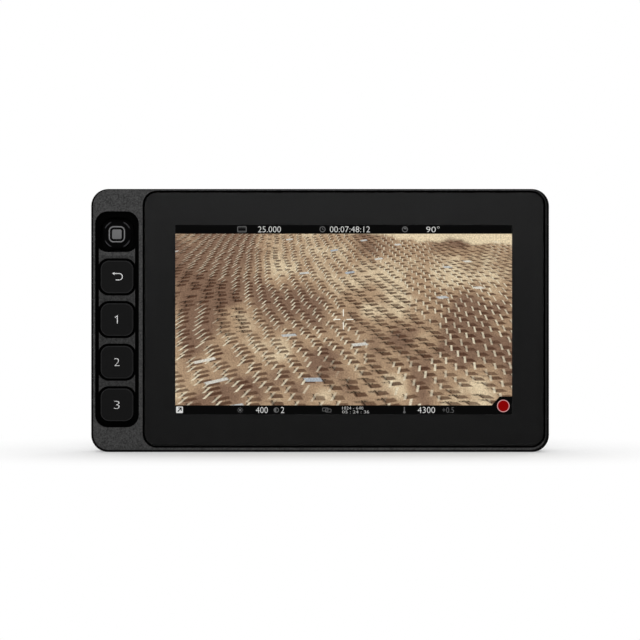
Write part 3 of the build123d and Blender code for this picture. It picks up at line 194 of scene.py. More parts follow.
def outline_distance(x, z, left, right, low, high, radius):
    """How far a point is outside a rectangle with round corners, below 0 inside it."""
    across = (x - (left + right) / 2).size() - ((right - left) / 2 - radius)
    up = (z - (low + high) / 2).size() - ((high - low) / 2 - radius)
    return hypotenuse(across.most(0.0), up.most(0.0)) + across.most(up).least(0.0) - radius


def shade(red, green, blue):
    """A screen colour, 0 to 255, as the linear colour that a shader takes."""
    steps = [value / 255 for value in (red, green, blue)]
    return tuple(s / 12.92 if s <= 0.04045 else ((s + 0.055) / 1.055) ** 2.4 for s in steps)


print("middle grey in linear light:", round(shade(128, 128, 128)[0], 3))

# %% [markdown]
# Whole shaders are mixed too, by the kind of light ray that meets them: one seen by the
# camera, one mirrored in metal, one that went through glass, or one that looks for a lamp.


# %% Mixing shaders by the kind of ray
def ray_is(tree, *kinds):
    """1 for a ray of any of these kinds, as Light Path names them, and 0 for others."""
    found = made(tree, "LightPath", output=kinds[0])
    for kind in kinds[1:]:
        found = found.most(made(tree, "LightPath", output=kind))
    return found


def show_mix(tree, share, first, second, output="Material Output"):
    """Shows the first shader where the share is 0, and the second where it is 1."""
    mix = made(tree, "MixShader", (share, first, second))
    tree.links.new(mix.socket, tree.nodes[output].inputs["Surface"])


# %% [markdown]
# Nearly every finish of this object is the same recipe with other amounts: a colour that
# drifts slowly (clouds), a fine grain that changes the tone and stands up as bump, and a
# roughness that is never quite even. One function with named amounts keeps the recipe in
# one place. Edges may be paler, as a painted highlight and as wear where a coat is thin and
# hands polish it: the Bevel node gives the normal of a rounded edge, which differs from the
# face's own there. A rounded rim round a front face may get a painted highlight too.


# %% The recipe for an opaque finish
def start_material(name):
    material = bpy.data.materials.new(name)
    material.use_nodes = True
    tree = material.node_tree
    return material, tree, tree.nodes["Principled BSDF"]


def bumped(height, depth):
    return made(height.tree, "Bump", {"Height": height, "Distance": depth}, "Normal")


def edge_share(tree, radius):
    """1 on the edges of a piece and 0 on its faces."""
    rounded_off = made(tree, "Bevel", {"Radius": radius}, samples=6)
    plain = made(tree, "NewGeometry", output="Normal")
    alike = made(tree, "VectorMath", (rounded_off, plain), "Value", operation="DOT_PRODUCT")
    return (alike * -1 + 1).rise(0.02, 0.3)


def facing_front(tree):
    """1 where a surface faces the front, 0 where it faces sideways, and less behind."""
    return made(tree, "TexCoord", output="Normal").parts()[1] * -1


def rim_share(tree):
    """1 on the rounded rim round a front face, where a highlight is painted."""
    facing = facing_front(tree)
    return facing.rise(0.1, 0.35) * facing.rise(0.985, 0.93)


finishes = {}
cloud_size = 20


def finish(slot, name, colour, roughness, metal=0.0, specular=0.5, cloud=0.05,
           grain=0.1, grain_size=0.3, grain_depth=0.01, uneven=0.1,
           along=(1, 1, 1), edge=0.0, edge_radius=0.15, rim=0.0, mask=None):
    """Puts an opaque finish on the list, under the name of a slot.

    cloud, grain, edge and rim are shares by which the tone changes: edge is a painted
    highlight and wear on edges, and rim a painted highlight on a rounded rim. mask multiplies
    the tone, and paints shade and highlights on the front frame and the joystick. Sizes,
    depths and radii are in millimetres.
    """
    material, tree, shader = start_material(name)
    point = stretched(place(tree), along)
    drift = noise(point, cloud_size * MM, 3) - 0.5
    grains = noise(point, grain_size * MM, 2)
    tone = drift * (2 * cloud) + (grains - 0.5) * (2 * grain) + 1
    # Edges are painted lighter: a highlight, and wear.
    if edge:
        tone = tone + edge_share(tree, edge_radius * MM) * edge
    # A painted highlight on the rounded rim round a front face.
    if rim:
        tone = tone + rim_share(tree) * rim
    if mask:
        tone = tone * mask(tree)
    fill_inputs(shader, {
        "Base Color": dimmed(colour, tone),
        "Roughness": drift * uneven + (grains - 0.5) * uneven + roughness,
        "Normal": bumped(grains, grain_depth * MM),
        "Metallic": metal,
        "Specular IOR Level": specular,
    })
    finishes[slot] = material


# %% [markdown]
# The frame and the rear housing are cast metal under a fine, matt powder coat, almost
# black, with a grain that shows only close by. The keys and the joystick's skirt are
# silicone-coated plastic, darker and smoother than the frame, so that the column of keys
# reads as a dark well. Low specular levels keep such finishes dark under a bright sky.

# %% Coats, plastics and rubbers
coat = dict(roughness=0.6, cloud=0.03, grain=0.95, grain_size=0.5, grain_depth=0.03)
smooth = dict(grain_size=0.12, grain_depth=0.003)
rubbery = dict(cloud=0.1, grain=0.15, grain_size=0.2, grain_depth=0.006)
finish("frame_metal", "powder_coat", (0.04, 0.04, 0.04), specular=0.1, **coat)
# The keys' rounded rims are painted lighter, as a highlight.
finish(
    "key_plastic", "key_coat", (0.0046, 0.0046, 0.0047), 0.45, specular=0.03, rim=3.0, **smooth,
)
finish("well_black", "well_black", (0.0014, 0.0014, 0.0014), 0.6, specular=0.01, **rubbery)
finish(
    "black_plastic", "moulded_black", (0.018, 0.018, 0.019), 0.55, specular=0.25, cloud=0.06,
    grain=0.15, grain_size=0.2, grain_depth=0.012, edge=0.35, edge_radius=0.25,
)
finish(
    "inner_plastic", "inner_black", (0.012, 0.012, 0.012), 0.6, specular=0.25, cloud=0.06,
    grain_size=0.25, grain_depth=0.006,
)
finish("seal_rubber", "seal_rubber", (0.0012, 0.0012, 0.0012), 0.75, specular=0.0, **rubbery)
finish(
    "white_plastic", "light_guide", (0.72, 0.74, 0.76), 0.3, cloud=0.02, grain=0.03,
    grain_size=0.5,
)
finish("insulator", "jack_insulator", (0.66, 0.64, 0.6), 0.4, cloud=0.04, grain=0.04)
finish("lead", "lead_jacket", (0.02, 0.02, 0.02), 0.5, cloud=0.1, grain_size=0.4)
finish(
    "adhesive", "black_adhesive", (0.008, 0.008, 0.008), 0.7, specular=0.2, cloud=0.1,
    grain_size=0.5,
)
finish(
    "thermal_pad", "thermal_pad", (0.22, 0.26, 0.32), 0.8, cloud=0.1, grain=0.12, grain_size=0.4,
)
print("coats, plastics and rubbers:", len(finishes))

# %% [markdown]
# The front frame wears the coat on its face and its outer walls. The rounded rim between
# them is painted black as shade, as is the inside of the wells, and the lands between the
# keys and the lip at the right are painted darker as shade. The joystick's skirt is black,
# with painted highlights in arcs where it stands out between its four flats. Such masks are
# drawn from the piece's own coordinates: an outline across the face, and the depth behind it.

# %% Places on the front, in millimetres
strip_x, joystick_z, front_y = -66.7, 71.5, -15.0
lands_z, lands_half_width, lands_half_height = 36.5, 5.9, 28.0
# Painted shade: outside this outline the rounded rim is black, and so is the inside of the wells.
rim_shade_outline = {"left": -74.5, "right": 74.3, "low": 0.7, "high": 86.1, "radius": 5.2}
lip_x = 73.4
# The first tone is the painted shade of rim and wells; the second is the outer walls' own tone.
painted_shade_tone, wall_tone = 0.08, 0.85
# How much painted shade darkens the lands between the keys and the lip at the right.
land_shade, lip_shade = 0.33, 0.5
# The joystick's tip: a ring with a painted highlight, and a pad painted lighter at its top.
ring_half, ring_radius = 2.44, 1.4
pad_half, pad_radius = 1.53, 0.5
# The skirt's arcs of painted highlight lie between these radii.
arc_inside, arc_outside, arc_highlight_gain = 4.2, 4.75, 26
print("key strip at", strip_x, "mm, joystick at height", joystick_z, "mm")


# %% Masks for the front frame and the joystick
def millimetres_from(tree, x=0.0, z=0.0):
    """How far the point is to the right of, behind and above a place on the front."""
    return [part / MM - start for part, start in zip(place(tree).parts(), (x, front_y, z))]


def coat_mask(tree):
    """The coat's tone on the front frame, with painted shade on rim, wells, lands and lip."""
    x, depth, z = millimetres_from(tree)
    lands = block(x - strip_x, z - lands_z, lands_half_width, lands_half_height, 0.5)
    outside = outline_distance(x, z, **rim_shade_outline)
    face = outside.rise(0.06, -0.06) * depth.rise(1.2, 0.9)
    face = face * facing_front(tree).rise(0.78, 0.96)
    walls = outside.rise(0.1, 0.2) * depth.rise(0.45, 0.75)
    lip = x.rise(lip_x, lip_x + 0.3) * face
    # Painted shade: black on the rim and in the wells, darker on the lands and on the lip.
    tone = face.most(walls * wall_tone) * (1 - painted_shade_tone) + painted_shade_tone
    return tone * (lands * -land_shade + 1) * (lip * -lip_shade + 1)


def polish_mask(tree):
    """Painted highlights: brighter arcs at the four corners of the joystick's skirt."""
    x, _, z = millimetres_from(tree, strip_x, joystick_z)
    reach = hypotenuse(x, z)
    corner = (x.size() * z.size() / reach / reach).rise(0.36, 0.48)
    arc = reach.rise(arc_inside, arc_inside + 0.2) * reach.rise(arc_outside, arc_outside - 0.15)
    return arc * corner * arc_highlight_gain + 1


def ring_mask(tree):
    """A painted highlight on the ring, painted shade round it, and the pad painted lighter at top."""
    x, _, z = millimetres_from(tree, strip_x, joystick_z)
    ring = outline_distance(x, z, -ring_half, ring_half, -ring_half, ring_half, ring_radius)
    ring = ring.size().rise(0.22, 0.15)
    pad = outline_distance(x, z, -pad_half, pad_half, -pad_half, pad_half, pad_radius)
    pad = pad.rise(0.05, 0.0)
    # Near black round ring and pad is painted shade; the ring and top of the pad are painted light.
    return ring.most(pad) * 0.98 + ring * 0.45 + z.rise(-1.6, 1.6) * pad * 0.1 + 0.02


# The front's coat carries the painted shade of its mask.
finish("front_coat_painted_shade", "front_coat_painted_shade", (0.05, 0.05, 0.05), specular=0.0, mask=coat_mask, **coat)
# The skirt is black, with painted highlights in arcs at its corners.
finish(
    "joystick_black", "joystick_black", (0.0016, 0.0016, 0.0017), 0.4, specular=0.01,
    mask=polish_mask, **smooth,
)
finish(
    "tip_plastic", "joystick_grey", shade(97, 97, 98), 0.5, specular=0.1, grain=0.06,
    grain_size=0.15, grain_depth=0.004, mask=ring_mask,
)
print("finishes with the masked ones:", len(finishes))

# %% [markdown]
# Bare metals differ by colour and by how they were worked. Sheet and drawn metal keeps
# fine lines, made here by stretching the noise along the direction of the work; plated
# parts are smooth and only their roughness is uneven.

# %% Metals
finish(
    "nickel", "bright_nickel", (0.46, 0.45, 0.425), 0.24, metal=1.0, grain=0.06, grain_size=0.25,
    grain_depth=0.002, uneven=0.14, edge=0.2,
)
finish(
    "gold", "contact_gold", (0.83, 0.58, 0.24), 0.22, metal=1.0, grain=0.06, grain_size=0.2,
    grain_depth=0.002, uneven=0.14,
)
finish(
    "black_metal", "black_nickel", (0.035, 0.034, 0.034), 0.34, metal=0.6, specular=0.4,
    cloud=0.06, grain_size=0.25, grain_depth=0.004, edge=0.8, edge_radius=0.2,
)
finish(
    "steel", "mount_steel", (0.38, 0.38, 0.39), 0.36, metal=1.0, cloud=0.06, grain=0.14,
    grain_depth=0.005, along=(0.15, 1, 1), uneven=0.16,
)
finish(
    "screw", "black_oxide", (0.03, 0.03, 0.032), 0.38, metal=0.7, specular=0.4, cloud=0.08,
    grain=0.15, grain_size=0.2, grain_depth=0.004, edge=1.0,
)
finish(
    "tray_metal", "rolled_sheet", (0.55, 0.56, 0.57), 0.35, metal=1.0, grain=0.12,
    grain_depth=0.004, along=(0.05, 1, 1),
)
print("finishes with the metals:", len(finishes))

# %% [markdown]
# Circuit boards are glass cloth under a thin green-black varnish, with copper tracks that
# lift it a little. Even lines, bent by a slow noise, stand for the tracks. The packages on
# them are moulded, and the ribbon is amber film over copper lines.


# %% Boards and ribbons
def lined_finish(slot, ground, line, pitch, roughness, specular=0.5):
    """A ground with fine lines of another tone, such as copper under varnish."""
    material, tree, shader = start_material(slot)
    point = place(tree)
    weave = noise(point, 0.4 * MM, 2)
    wander = noise(point, 3 * MM, 1) * 3
    lines = (point.parts()[0] / (pitch * MM) + wander).apply("PINGPONG", 0.5).rise(0.3, 0.36)
    fill_inputs(shader, {
        "Base Color": dimmed(blend(lines, ground, line), weave * 0.3 + 0.85),
        "Roughness": weave * 0.2 + roughness,
        "Normal": bumped(lines, 0.01 * MM),
        "Specular IOR Level": specular,
    })
    finishes[slot] = material


lined_finish("board", (0.006, 0.03, 0.016), (0.014, 0.062, 0.03), 0.8, 0.3)
lined_finish(
    "black_board", (0.0018, 0.0018, 0.0018), (0.003, 0.003, 0.003), 0.8, 0.6, specular=0.02,
)
lined_finish("ribbon", (0.24, 0.1, 0.02), (0.38, 0.17, 0.045), 0.5, 0.3)
finish("chip", "chip_mould", (0.02, 0.02, 0.021), 0.5, cloud=0.06, grain=0.2, grain_size=0.1)
finish("display", "cell_polariser", (0.012, 0.012, 0.014), 0.25, grain=0.05, grain_size=0.2)
print("finishes with the boards:", len(finishes))

# %% [markdown]
# The cover glass is bonded to the screen and has an anti-reflective, matt coat. So it is
# given an index of 1, which neither mirrors nor bends, and the soft sheen of the coat is
# put on the ink behind the glass. A mirror in front of near-black ink would also leave
# specks in the picture. Light Path lets the lamps straight through to the ink.


# %% Cover glass
def glass_finish():
    material, tree, shader = start_material("coated_glass")
    smear = noise(place(tree), 14 * MM, 3)
    fill_inputs(shader, {
        "Base Color": blend(smear, (0.985, 0.99, 0.99), (0.995, 1.0, 0.995)),
        "Roughness": 0.0,
        "Transmission Weight": 1.0,
        "IOR": 1.0,
    })
    glass, clear = Wire(tree, shader.outputs[0]), made(tree, "BsdfTransparent")
    show_mix(tree, ray_is(tree, "Is Shadow Ray"), glass, clear)
    return material


finishes["cover_glass"] = glass_finish()
print("finishes with the glass:", len(finishes))

# %% [markdown]
# Each solid comes with a material named after its slot, so one loop dresses them all.
# Five of them get a variant of their slot's finish: the front with its painted shade, the
# joystick's skirt with its painted highlights, and three parts that sit in dark openings
# and are made near-black there as painted shade.

# %% Dress the solids
own_finish = {
    "front_frame": "front_coat_painted_shade",
    "joystick_cap": "joystick_black",
    # These three are near-black as painted shade in their openings.
    "joystick_cover": "well_black",
    "key_board": "black_board",
    "card_reader": "inner_plastic",
}
for title, piece in sorted(nodes.items()):
    for holder in piece.material_slots:
        holder.material = finishes[own_finish.get(title, holder.material.name.split(".")[0])]
print("dressed:", len(nodes))

# %% [markdown]
# What is added is a mesh with one finish. It rides on a body of the solid model, and so it
# moves with the key or the catch that it belongs to.


# %% From a mesh to a piece
def put(name, data):
    """A new object of the scene."""
    thing = bpy.data.objects.new(name, data)
    bpy.context.scene.collection.objects.link(thing)
    return thing


def finished(name, built, material, body="root"):
    """Turns a bmesh into a piece that rides on a body."""
    mesh = bpy.data.meshes.new(name)
    built.to_mesh(mesh)
    built.free()
    mesh.materials.append(material)
    piece = put(name, mesh)
    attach(piece, body)
    print(name, "faces:", len(mesh.polygons), "on", body)
    return piece


def mesh_of(thing):
    """The plain mesh of an object with all its modifiers, in place of the object."""
    seen = bpy.context.evaluated_depsgraph_get()
    mesh = bpy.data.meshes.new_from_object(thing.evaluated_get(seen))
    bpy.data.objects.remove(thing)
    return mesh


# %% [markdown]
# Outlines are lists of points in X and Z: circles, arcs, rectangles with an arc at each
# corner, and the two sides of a stroke.

# %% Outlines
least_mitre, weld_distance = 0.3, 0.001


def stroke_sides(points, width, closed):
    """The two sides of a stroke of even width along a line, mitred at its corners."""
    left, right = [], []
    count = len(points)
    for step, (x, z) in enumerate(points):
        ways = []
        if step or closed:
            before = points[step - 1]
            ways.append(Vector((x - before[0], z - before[1])).normalized())
        if step < count - 1 or closed:
            after = points[(step + 1) % count]
            ways.append(Vector((after[0] - x, after[1] - z)).normalized())
        way = sum(ways, Vector((0, 0))).normalized()
        side = Vector((-way.y, way.x))
        reach = width / 2 / max(side.dot(Vector((-ways[0].y, ways[0].x))), least_mitre)
        left.append((x + side.x * reach, z + side.y * reach))
        right.append((x - side.x * reach, z - side.y * reach))
    return left, right


def circle(radius, x=0.0, z=0.0, steps=24, start=0.0, turn=360.0):
    """Points round a circle, or along an arc that starts at an angle and turns by another."""
    count = steps if turn == 360 else steps + 1
    angles = [math.radians(start + turn * step / steps) for step in range(count)]
    return [(x + radius * math.cos(a), z + radius * math.sin(a)) for a in angles]


def rounded(left, right, low, high, radius, steps=6):
    """A rectangle with round corners."""
    points = []
    corners = ((right, high, 0), (left, high, 90), (left, low, 180), (right, low, 270))
    for x, z, start in corners:
        middle_x = x - radius if x == right else x + radius
        middle_z = z - radius if z == high else z + radius
        points += circle(radius, middle_x, middle_z, steps, start, 90)
    return points


# %% [markdown]
# Flat parts, such as ink, legends and readouts, are outlines given a small thickness in Y.
# A Sheet collects any number of them into one mesh of closed prisms. Faces are wound so
# that they point outwards, and the last step of the mesh turns any that don't.


# %% Flat parts
class Sheet:
    """Closed prisms between two depths, drawn in millimetres."""

    def __init__(self, front, back):
        self.mesh = bmesh.new()
        self.depths = (front, back)

    def corner(self, x, depth, z):
        return self.mesh.verts.new((x * MM, depth * MM, z * MM))

    def shape(self, points):
        """A filled outline, which is convex."""
        front, back = ([self.corner(x, depth, z) for x, z in points] for depth in self.depths)
        self.mesh.faces.new(front)
        self.mesh.faces.new(back[::-1])
        for place_a in range(len(points)):
            place_b = (place_a + 1) % len(points)
            self.mesh.faces.new((front[place_b], front[place_a], back[place_a], back[place_b]))

    def band(self, left, right, closed=False):
        """A strip between two lines that have the same number of points."""
        rows = []
        for ends in zip(left, right):
            rows.append([self.corner(x, depth, z) for depth in self.depths for x, z in ends])
        steps = len(rows) if closed else len(rows) - 1
        for step in range(steps):
            a, b = rows[step], rows[(step + 1) % len(rows)]
            for i, j in ((0, 1), (1, 3), (3, 2), (2, 0)):
                self.mesh.faces.new((a[i], a[j], b[j], b[i]))
        if not closed:
            self.mesh.faces.new([rows[0][i] for i in (0, 2, 3, 1)])
            self.mesh.faces.new([rows[-1][i] for i in (0, 1, 3, 2)])

    def ring(self, outer, inner):
        self.band(outer, inner, closed=True)

    def line(self, points, width, closed=False):
        """A stroke of even width along a line."""
        self.band(*stroke_sides(points, width, closed), closed)

    def text(self, words, left, right, low, high, thin=0.012):
        """Lettering squeezed into a box, with strokes made thinner by a share of its height."""
        curve = bpy.data.curves.new(words, "FONT")
        curve.body = words
        curve.extrude = 0.5
        curve.resolution_u = 3
        curve.offset = -thin
        letters = mesh_of(put(words, curve))
        xs = [v.co.x for v in letters.vertices]
        ys = [v.co.y for v in letters.vertices]
        front, back = self.depths
        for v in letters.vertices:
            x = left + (v.co.x - min(xs)) / (max(xs) - min(xs)) * (right - left)
            z = low + (v.co.y - min(ys)) / (max(ys) - min(ys)) * (high - low)
            v.co = (x * MM, (front if v.co.z > 0 else back) * MM, z * MM)
        self.mesh.from_mesh(letters)
        bpy.data.meshes.remove(letters)

    def piece(self, name, material, body="root", slot=None):
        bmesh.ops.remove_doubles(self.mesh, verts=self.mesh.verts, dist=weld_distance * MM)
        bmesh.ops.recalc_face_normals(self.mesh, faces=self.mesh.faces)
        finished(name, self.mesh, material, body)


# %% [markdown]
# The glass is printed black on its back, with a window for the lit area. Print and
# picture are both thinner than a hair and lie against the back of the glass, so that
# nothing stands in front of the picture but glass. The faint sheen of the print makes the
# border look a little paler than the black of the picture itself.

# %% Ink border
glass_low, glass_high = (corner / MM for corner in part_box("cover_glass"))
film_thickness, film_gap = 0.025, 0.005
lit_left, lit_right, lit_low, lit_high = -47.6, 63.1, 12.36, 74.6
ink_inset = 0.32
glass_radius, glass_gap = 4.4, 0.3

finish(
    "ink", "border_ink", (0.002, 0.002, 0.002), 0.25, specular=0.044, cloud=0.03, grain=0.04,
    grain_size=0.4, grain_depth=0.0, uneven=0.02,
)


def film_sheet(number):
    """A sheet for a film. Number 0 lies at the back of the glass, and the next before it."""
    back = glass_high.y - film_gap - number * (film_thickness + film_gap)
    return Sheet(back - film_thickness, back)


def glass_outline(grow):
    """The outline of the glass, made larger or smaller all round."""
    sides = (glass_low.x - grow, glass_high.x + grow, glass_low.z - grow, glass_high.z + grow)
    return rounded(*sides, glass_radius + grow, 12)


ink = film_sheet(0)
window = rounded(lit_left, lit_right, lit_low, lit_high, 0.05, 12)
ink.ring(glass_outline(-ink_inset), window)
ink.piece("border_print", finishes["ink"], slot="cover_glass")

# %% [markdown]
# The ground edge of the glass is painted black, and a black seal fills the gap between
# the glass and the frame; its deep black, with no sheen, is painted shade for the gap.
# Together they make the dark line round the screen.

# %% Edge paint and seal
finish(
    "deep_black", "deep_black", (0.0007, 0.0007, 0.0007), 0.7, specular=0.0, cloud=0.1,
    grain_size=0.2,
)
paint = film_sheet(0)
paint.ring(glass_outline(-0.02), glass_outline(-ink_inset))
paint.piece("glass_edge_paint", finishes["deep_black"], slot="cover_glass")
# The seal's deep black is painted shade in the gap round the glass.
gap_shade_seal = Sheet(glass_low.y + 0.45, glass_high.y + 0.2)
gap_shade_seal.ring(glass_outline(glass_gap - 0.01), glass_outline(0.02))
gap_shade_seal.piece("glass_seal_and_gap_shade", finishes["deep_black"], slot="seal_rubber")

# %% [markdown]
# The picture shows a sandy plain from the air, planted with rows of low trees that get
# smaller into the distance. It is drawn by nodes from the picture's own coordinates.
# Dividing by the distance to a horizon above the frame gives perspective, and a slow
# noise bends the rows over the dunes. Each cell of the ground holds one tree with its
# stem, crown and shadow, or a piece of slanting pale hedge; places in it are shares of the
# cell, from its middle. A wider net of cells holds a pale slab here and there.

# %% Colours and net of the picture
bar_low, bar_high = 15.3, 71.7
sand_dark = shade(126, 100, 82)
sand_mid = shade(170, 143, 115)
sand_pale = shade(230, 212, 178)
cast_colour = shade(66, 38, 26)
leaf_dark = shade(36, 29, 23)
leaf_pale = shade(228, 218, 192)
slab_warm = shade(226, 220, 205)
slab_cool = shade(158, 170, 182)
screen_black = shade(10, 10, 10)
aspect = 1.96
first_columns, column_horizon = 13, 1.4
first_rows, row_horizon = 24.5, 2.3
slab_spacing = 4.2
print("first row of the picture:", first_columns, "columns of trees")


# %% Lit picture
def light_up(shader, colour):
    """Makes a surface shine in a colour, with no light of the room on it."""
    fill_inputs(shader, {
        "Emission Color": colour,
        "Emission Strength": 1.0,
        "Base Color": (0, 0, 0, 1),
        "Specular IOR Level": 0.0,
        "Roughness": 1.0,
    })


def picture_finish():
    material, tree, shader = start_material("lit_picture")
    x, _, z = millimetres_from(tree, lit_left, bar_low)
    u = x / (lit_right - lit_left)
    v = z / (bar_high - bar_low)
    flat = vector(tree, u * aspect, v)
    dunes = noise(flat, 0.5, 2, flat=True)
    hollows = noise(flat, 0.17, 3, 0.6, flat=True)
    grit = noise(flat, 0.009, 2, 0.7, flat=True)

    # The net of cells, which narrows towards the horizons and bends with the swell.
    columns = (u - 0.5) / (v * -1 + column_horizon) * (first_columns * column_horizon)
    rows = (v * -1 + row_horizon).apply("POWER", -1.0) * (first_rows * row_horizon ** 2)
    swell = noise(flat, 0.9, 0, flat=True)
    east = columns + rows * 0.26 + swell * 3
    north = rows - columns * 0.4 + swell * 7
    ground = vector(tree, east, north)

    # Sand, from dark hollows to pale dunes.
    tone = dunes.rise(0.3, 0.65) * 0.7 + hollows.rise(0.25, 0.75) * 0.32 - v * 0.05 - 0.16
    sand = blend(tone.rise(0.0, 0.55), sand_dark, sand_mid)
    sand = blend(tone.rise(0.5, 1.0), sand, sand_pale)

    # A tree or a piece of hedge in each cell.
    dx, dy, lot, lot_b = cells(ground, 1.0, 0.3)
    planted = lot.over(0.06)
    hedge = noise(vector(tree, u * aspect + 7.0, v), 0.5, 1, flat=True).rise(0.42, 0.52)
    cast = block(dx - 0.08, dy + 0.1, 0.28, 0.27) * planted
    stem = block(dx + 0.1, dy - 0.1, 0.03, 0.34, 0.03) * planted
    crown = block(dx + dy * 0.3 + 0.06, dy - 0.26, 0.3, 0.13, 0.08) * planted
    crown = crown * grit.rise(0.4, 0.55)
    ray = (dx - dy * 0.42 + 0.12).size().rise(0.09, 0.03)

    depth = (hollows * 0.4 + 0.6) * (lot_b * 0.25 + 0.75)
    picture = blend(cast * depth, sand, cast_colour)
    picture = blend(stem * 0.9, picture, leaf_dark)
    picture = blend(crown * (hedge * -1 + 1) * 0.9, picture, leaf_dark)
    picture = blend(ray * hedge * (lot_b * 0.4 + 0.45), picture, leaf_pale)

    # Slabs.
    sx, sy, pick, warm = cells(ground, slab_spacing, 0.9)
    slab = block(sx, sy, 0.42, 0.3) * pick.over(0.66)
    picture = blend(slab * 0.9, picture, blend(warm, slab_cool, slab_warm))

    # Bare sand at the upper right.
    bare = (v + u * 0.16 + hollows * 0.1).rise(1.12, 1.15)
    picture = blend(bare * 0.85, picture, sand_pale)
    grain = grit * 1.2 + 0.42

    within = v.rise(-0.001, 0.001) * v.rise(1.001, 0.999)
    light_up(shader, blend(within, screen_black, dimmed(picture, grain)))
    return material


finishes["picture"] = picture_finish()
picture = film_sheet(0)
picture.shape([
    (lit_left, lit_low), (lit_right, lit_low), (lit_right, lit_high), (lit_left, lit_high),
])
picture.piece("lit_picture", finishes["picture"], slot="display")

# %% [markdown]
# Readouts are lit too, so they are plain light with a faint trace of the display's rows.
# Values are white; the small signs that say what they are, and their setting, are grey.


# %% Light of the readouts
display_row = 0.0577


def lit_finish(name, colour):
    material, tree, shader = start_material(name)
    rows = place(tree).parts()[2] / (display_row * MM)
    trace = rows.apply("PINGPONG", 1.0) * 0.06 + 0.97
    light_up(shader, dimmed(colour, trace))
    return material


light_white = lit_finish("light_white", shade(216, 216, 214))
light_grey = lit_finish("light_grey", shade(96, 96, 96))
light_red = lit_finish("light_red", shade(132, 6, 6))
light_pink = lit_finish("light_pink", shade(205, 150, 150))
light_black = lit_finish("light_black", shade(8, 8, 8))
print("one row of the display is", display_row, "mm high")

# %% [markdown]
# The values are numbers, squeezed into the width that they take on such a bar, and two
# rows of small ones in the lower bar. The mark in the middle of the picture is four short
# strokes with a gap.

# %% Values and centre mark
digit_low, digit_high = 72.2, 74.15
small_low, small_high = 12.75, 14.75
small_middle = (small_low + small_high) / 2
values = film_sheet(1)
for words, left, right in (("25.000", -20.4, -12.9), ("00:07:48:12", 3.2, 16.4), ("90°", 34.9, 39.3)):
    values.text(words, left, right, digit_low, digit_high)
for words, left, right in (("400", -21.1, -17.2), ("4300", 32.1, 37.8), ("2", -12.9, -11.8)):
    values.text(words, left, right, small_low, small_high)
pair_left, pair_gap = 7.3, 0.15
values.text("1024 - 640", pair_left, 14.2, small_middle + pair_gap, small_high + 0.1, thin=0.02)
values.text("05 : 24 : 36", pair_left, 16.1, small_low - 0.1, small_middle - pair_gap, thin=0.02)
values.piece("readout_values", light_white, slot="display")

mark_x, mark_z = 7.66, 43.55
mark_gap, mark_reach, mark_width = 1.0, 3.3, 0.3
mark = film_sheet(1)
for way_x, way_z in ((1, 0), (-1, 0), (0, 1), (0, -1)):
    mark.line([
        (mark_x + way_x * mark_gap, mark_z + way_z * mark_gap),
        (mark_x + way_x * mark_reach, mark_z + way_z * mark_reach),
    ], mark_width)
mark.piece("centre_mark", lit_finish("light_mark", shade(245, 240, 226)), slot="display")

# %% [markdown]
# The signs are generic: a film frame for the frame rate, a clock for the time code, an
# open shutter disc, a sun for sensitivity, a half-dark disc for the filter, two
# overlapping cards for the colour setting, and a thermometer for colour temperature.

# %% Signs
stroke, thin_stroke = 0.26, 0.2
signs = film_sheet(1)
bar_middle = (digit_low + digit_high) / 2

film_x, clock_x, shutter_x = -26.65, 0.8, 27.9
film = rounded(film_x - 0.45, film_x + 2.35, bar_middle - 0.85, bar_middle + 0.85, 0.2, 2)
signs.line(film, stroke, closed=True)
for step in range(4):
    for side in (-0.45, 0.45):
        x = film_x + step * 0.64
        signs.line([(x, bar_middle + side - 0.1), (x, bar_middle + side + 0.1)], thin_stroke)

hands = [(clock_x, bar_middle + 0.5), (clock_x, bar_middle), (clock_x + 0.35, bar_middle - 0.2)]
signs.line(circle(0.85, clock_x, bar_middle, 20), stroke, closed=True)
signs.line(hands, thin_stroke)

signs.line(circle(0.85, shutter_x, bar_middle, 20), stroke, closed=True)
signs.shape([(shutter_x, bar_middle)] + circle(0.6, shutter_x, bar_middle, 10, 0, 150))

sun_x, filter_x, cards_x, bulb_x = -26.3, -14.4, 2.2, 27.7
signs.shape(circle(0.42, sun_x, small_middle, 14))
for ray in range(8):
    signs.line([circle(r, sun_x, small_middle, 8)[ray] for r in (0.6, 0.95)], thin_stroke)

signs.line(circle(0.75, filter_x, small_middle, 20), stroke, closed=True)
signs.shape(circle(0.62, filter_x, small_middle, 10, 90, 180))

for shift in (-0.5, 0.5):
    x, middle = cards_x + shift, small_middle - shift / 3
    card = rounded(x - 0.9, x + 0.9, middle - 0.5, middle + 0.5, 0.15, 2)
    signs.line(card, 0.18, closed=True)

signs.shape(circle(0.42, bulb_x, small_low + 0.3, 14))
signs.line([(bulb_x, small_low + 0.3), (bulb_x, small_high)], 0.34)
signs.text("+0.5", 40.2, 44.0, small_low + 0.1, small_high - 0.1)
signs.piece("readout_signs", light_grey, slot="display")

# %% [markdown]
# At the lower left stands a white tile with an arrow that points out of it, and at the
# lower right a red disc with a pale rim in a cut-off corner of black: the signs for
# opening a menu and for recording, as screens of this kind have.

# %% Tile and recording sign
tile_left, tile_right, tile_low, tile_high = -47.35, -45.1, 12.75, 14.9
tip_x, tip_z, barb, arrow_width = -45.66, 14.42, 0.94, 0.34
tile = film_sheet(1)
tile.shape(rounded(tile_left, tile_right, tile_low, tile_high, 0.25, 4))
tile.piece("menu_tile", light_white, slot="display")
arrow = film_sheet(2)
arrow.line([(tip_x - 1.14, tip_z - 1.17), (tip_x - 0.09, tip_z - 0.12)], arrow_width)
arrow.line([(tip_x - barb, tip_z), (tip_x, tip_z), (tip_x, tip_z - barb)], arrow_width)
arrow.piece("menu_arrow", light_black, slot="display")

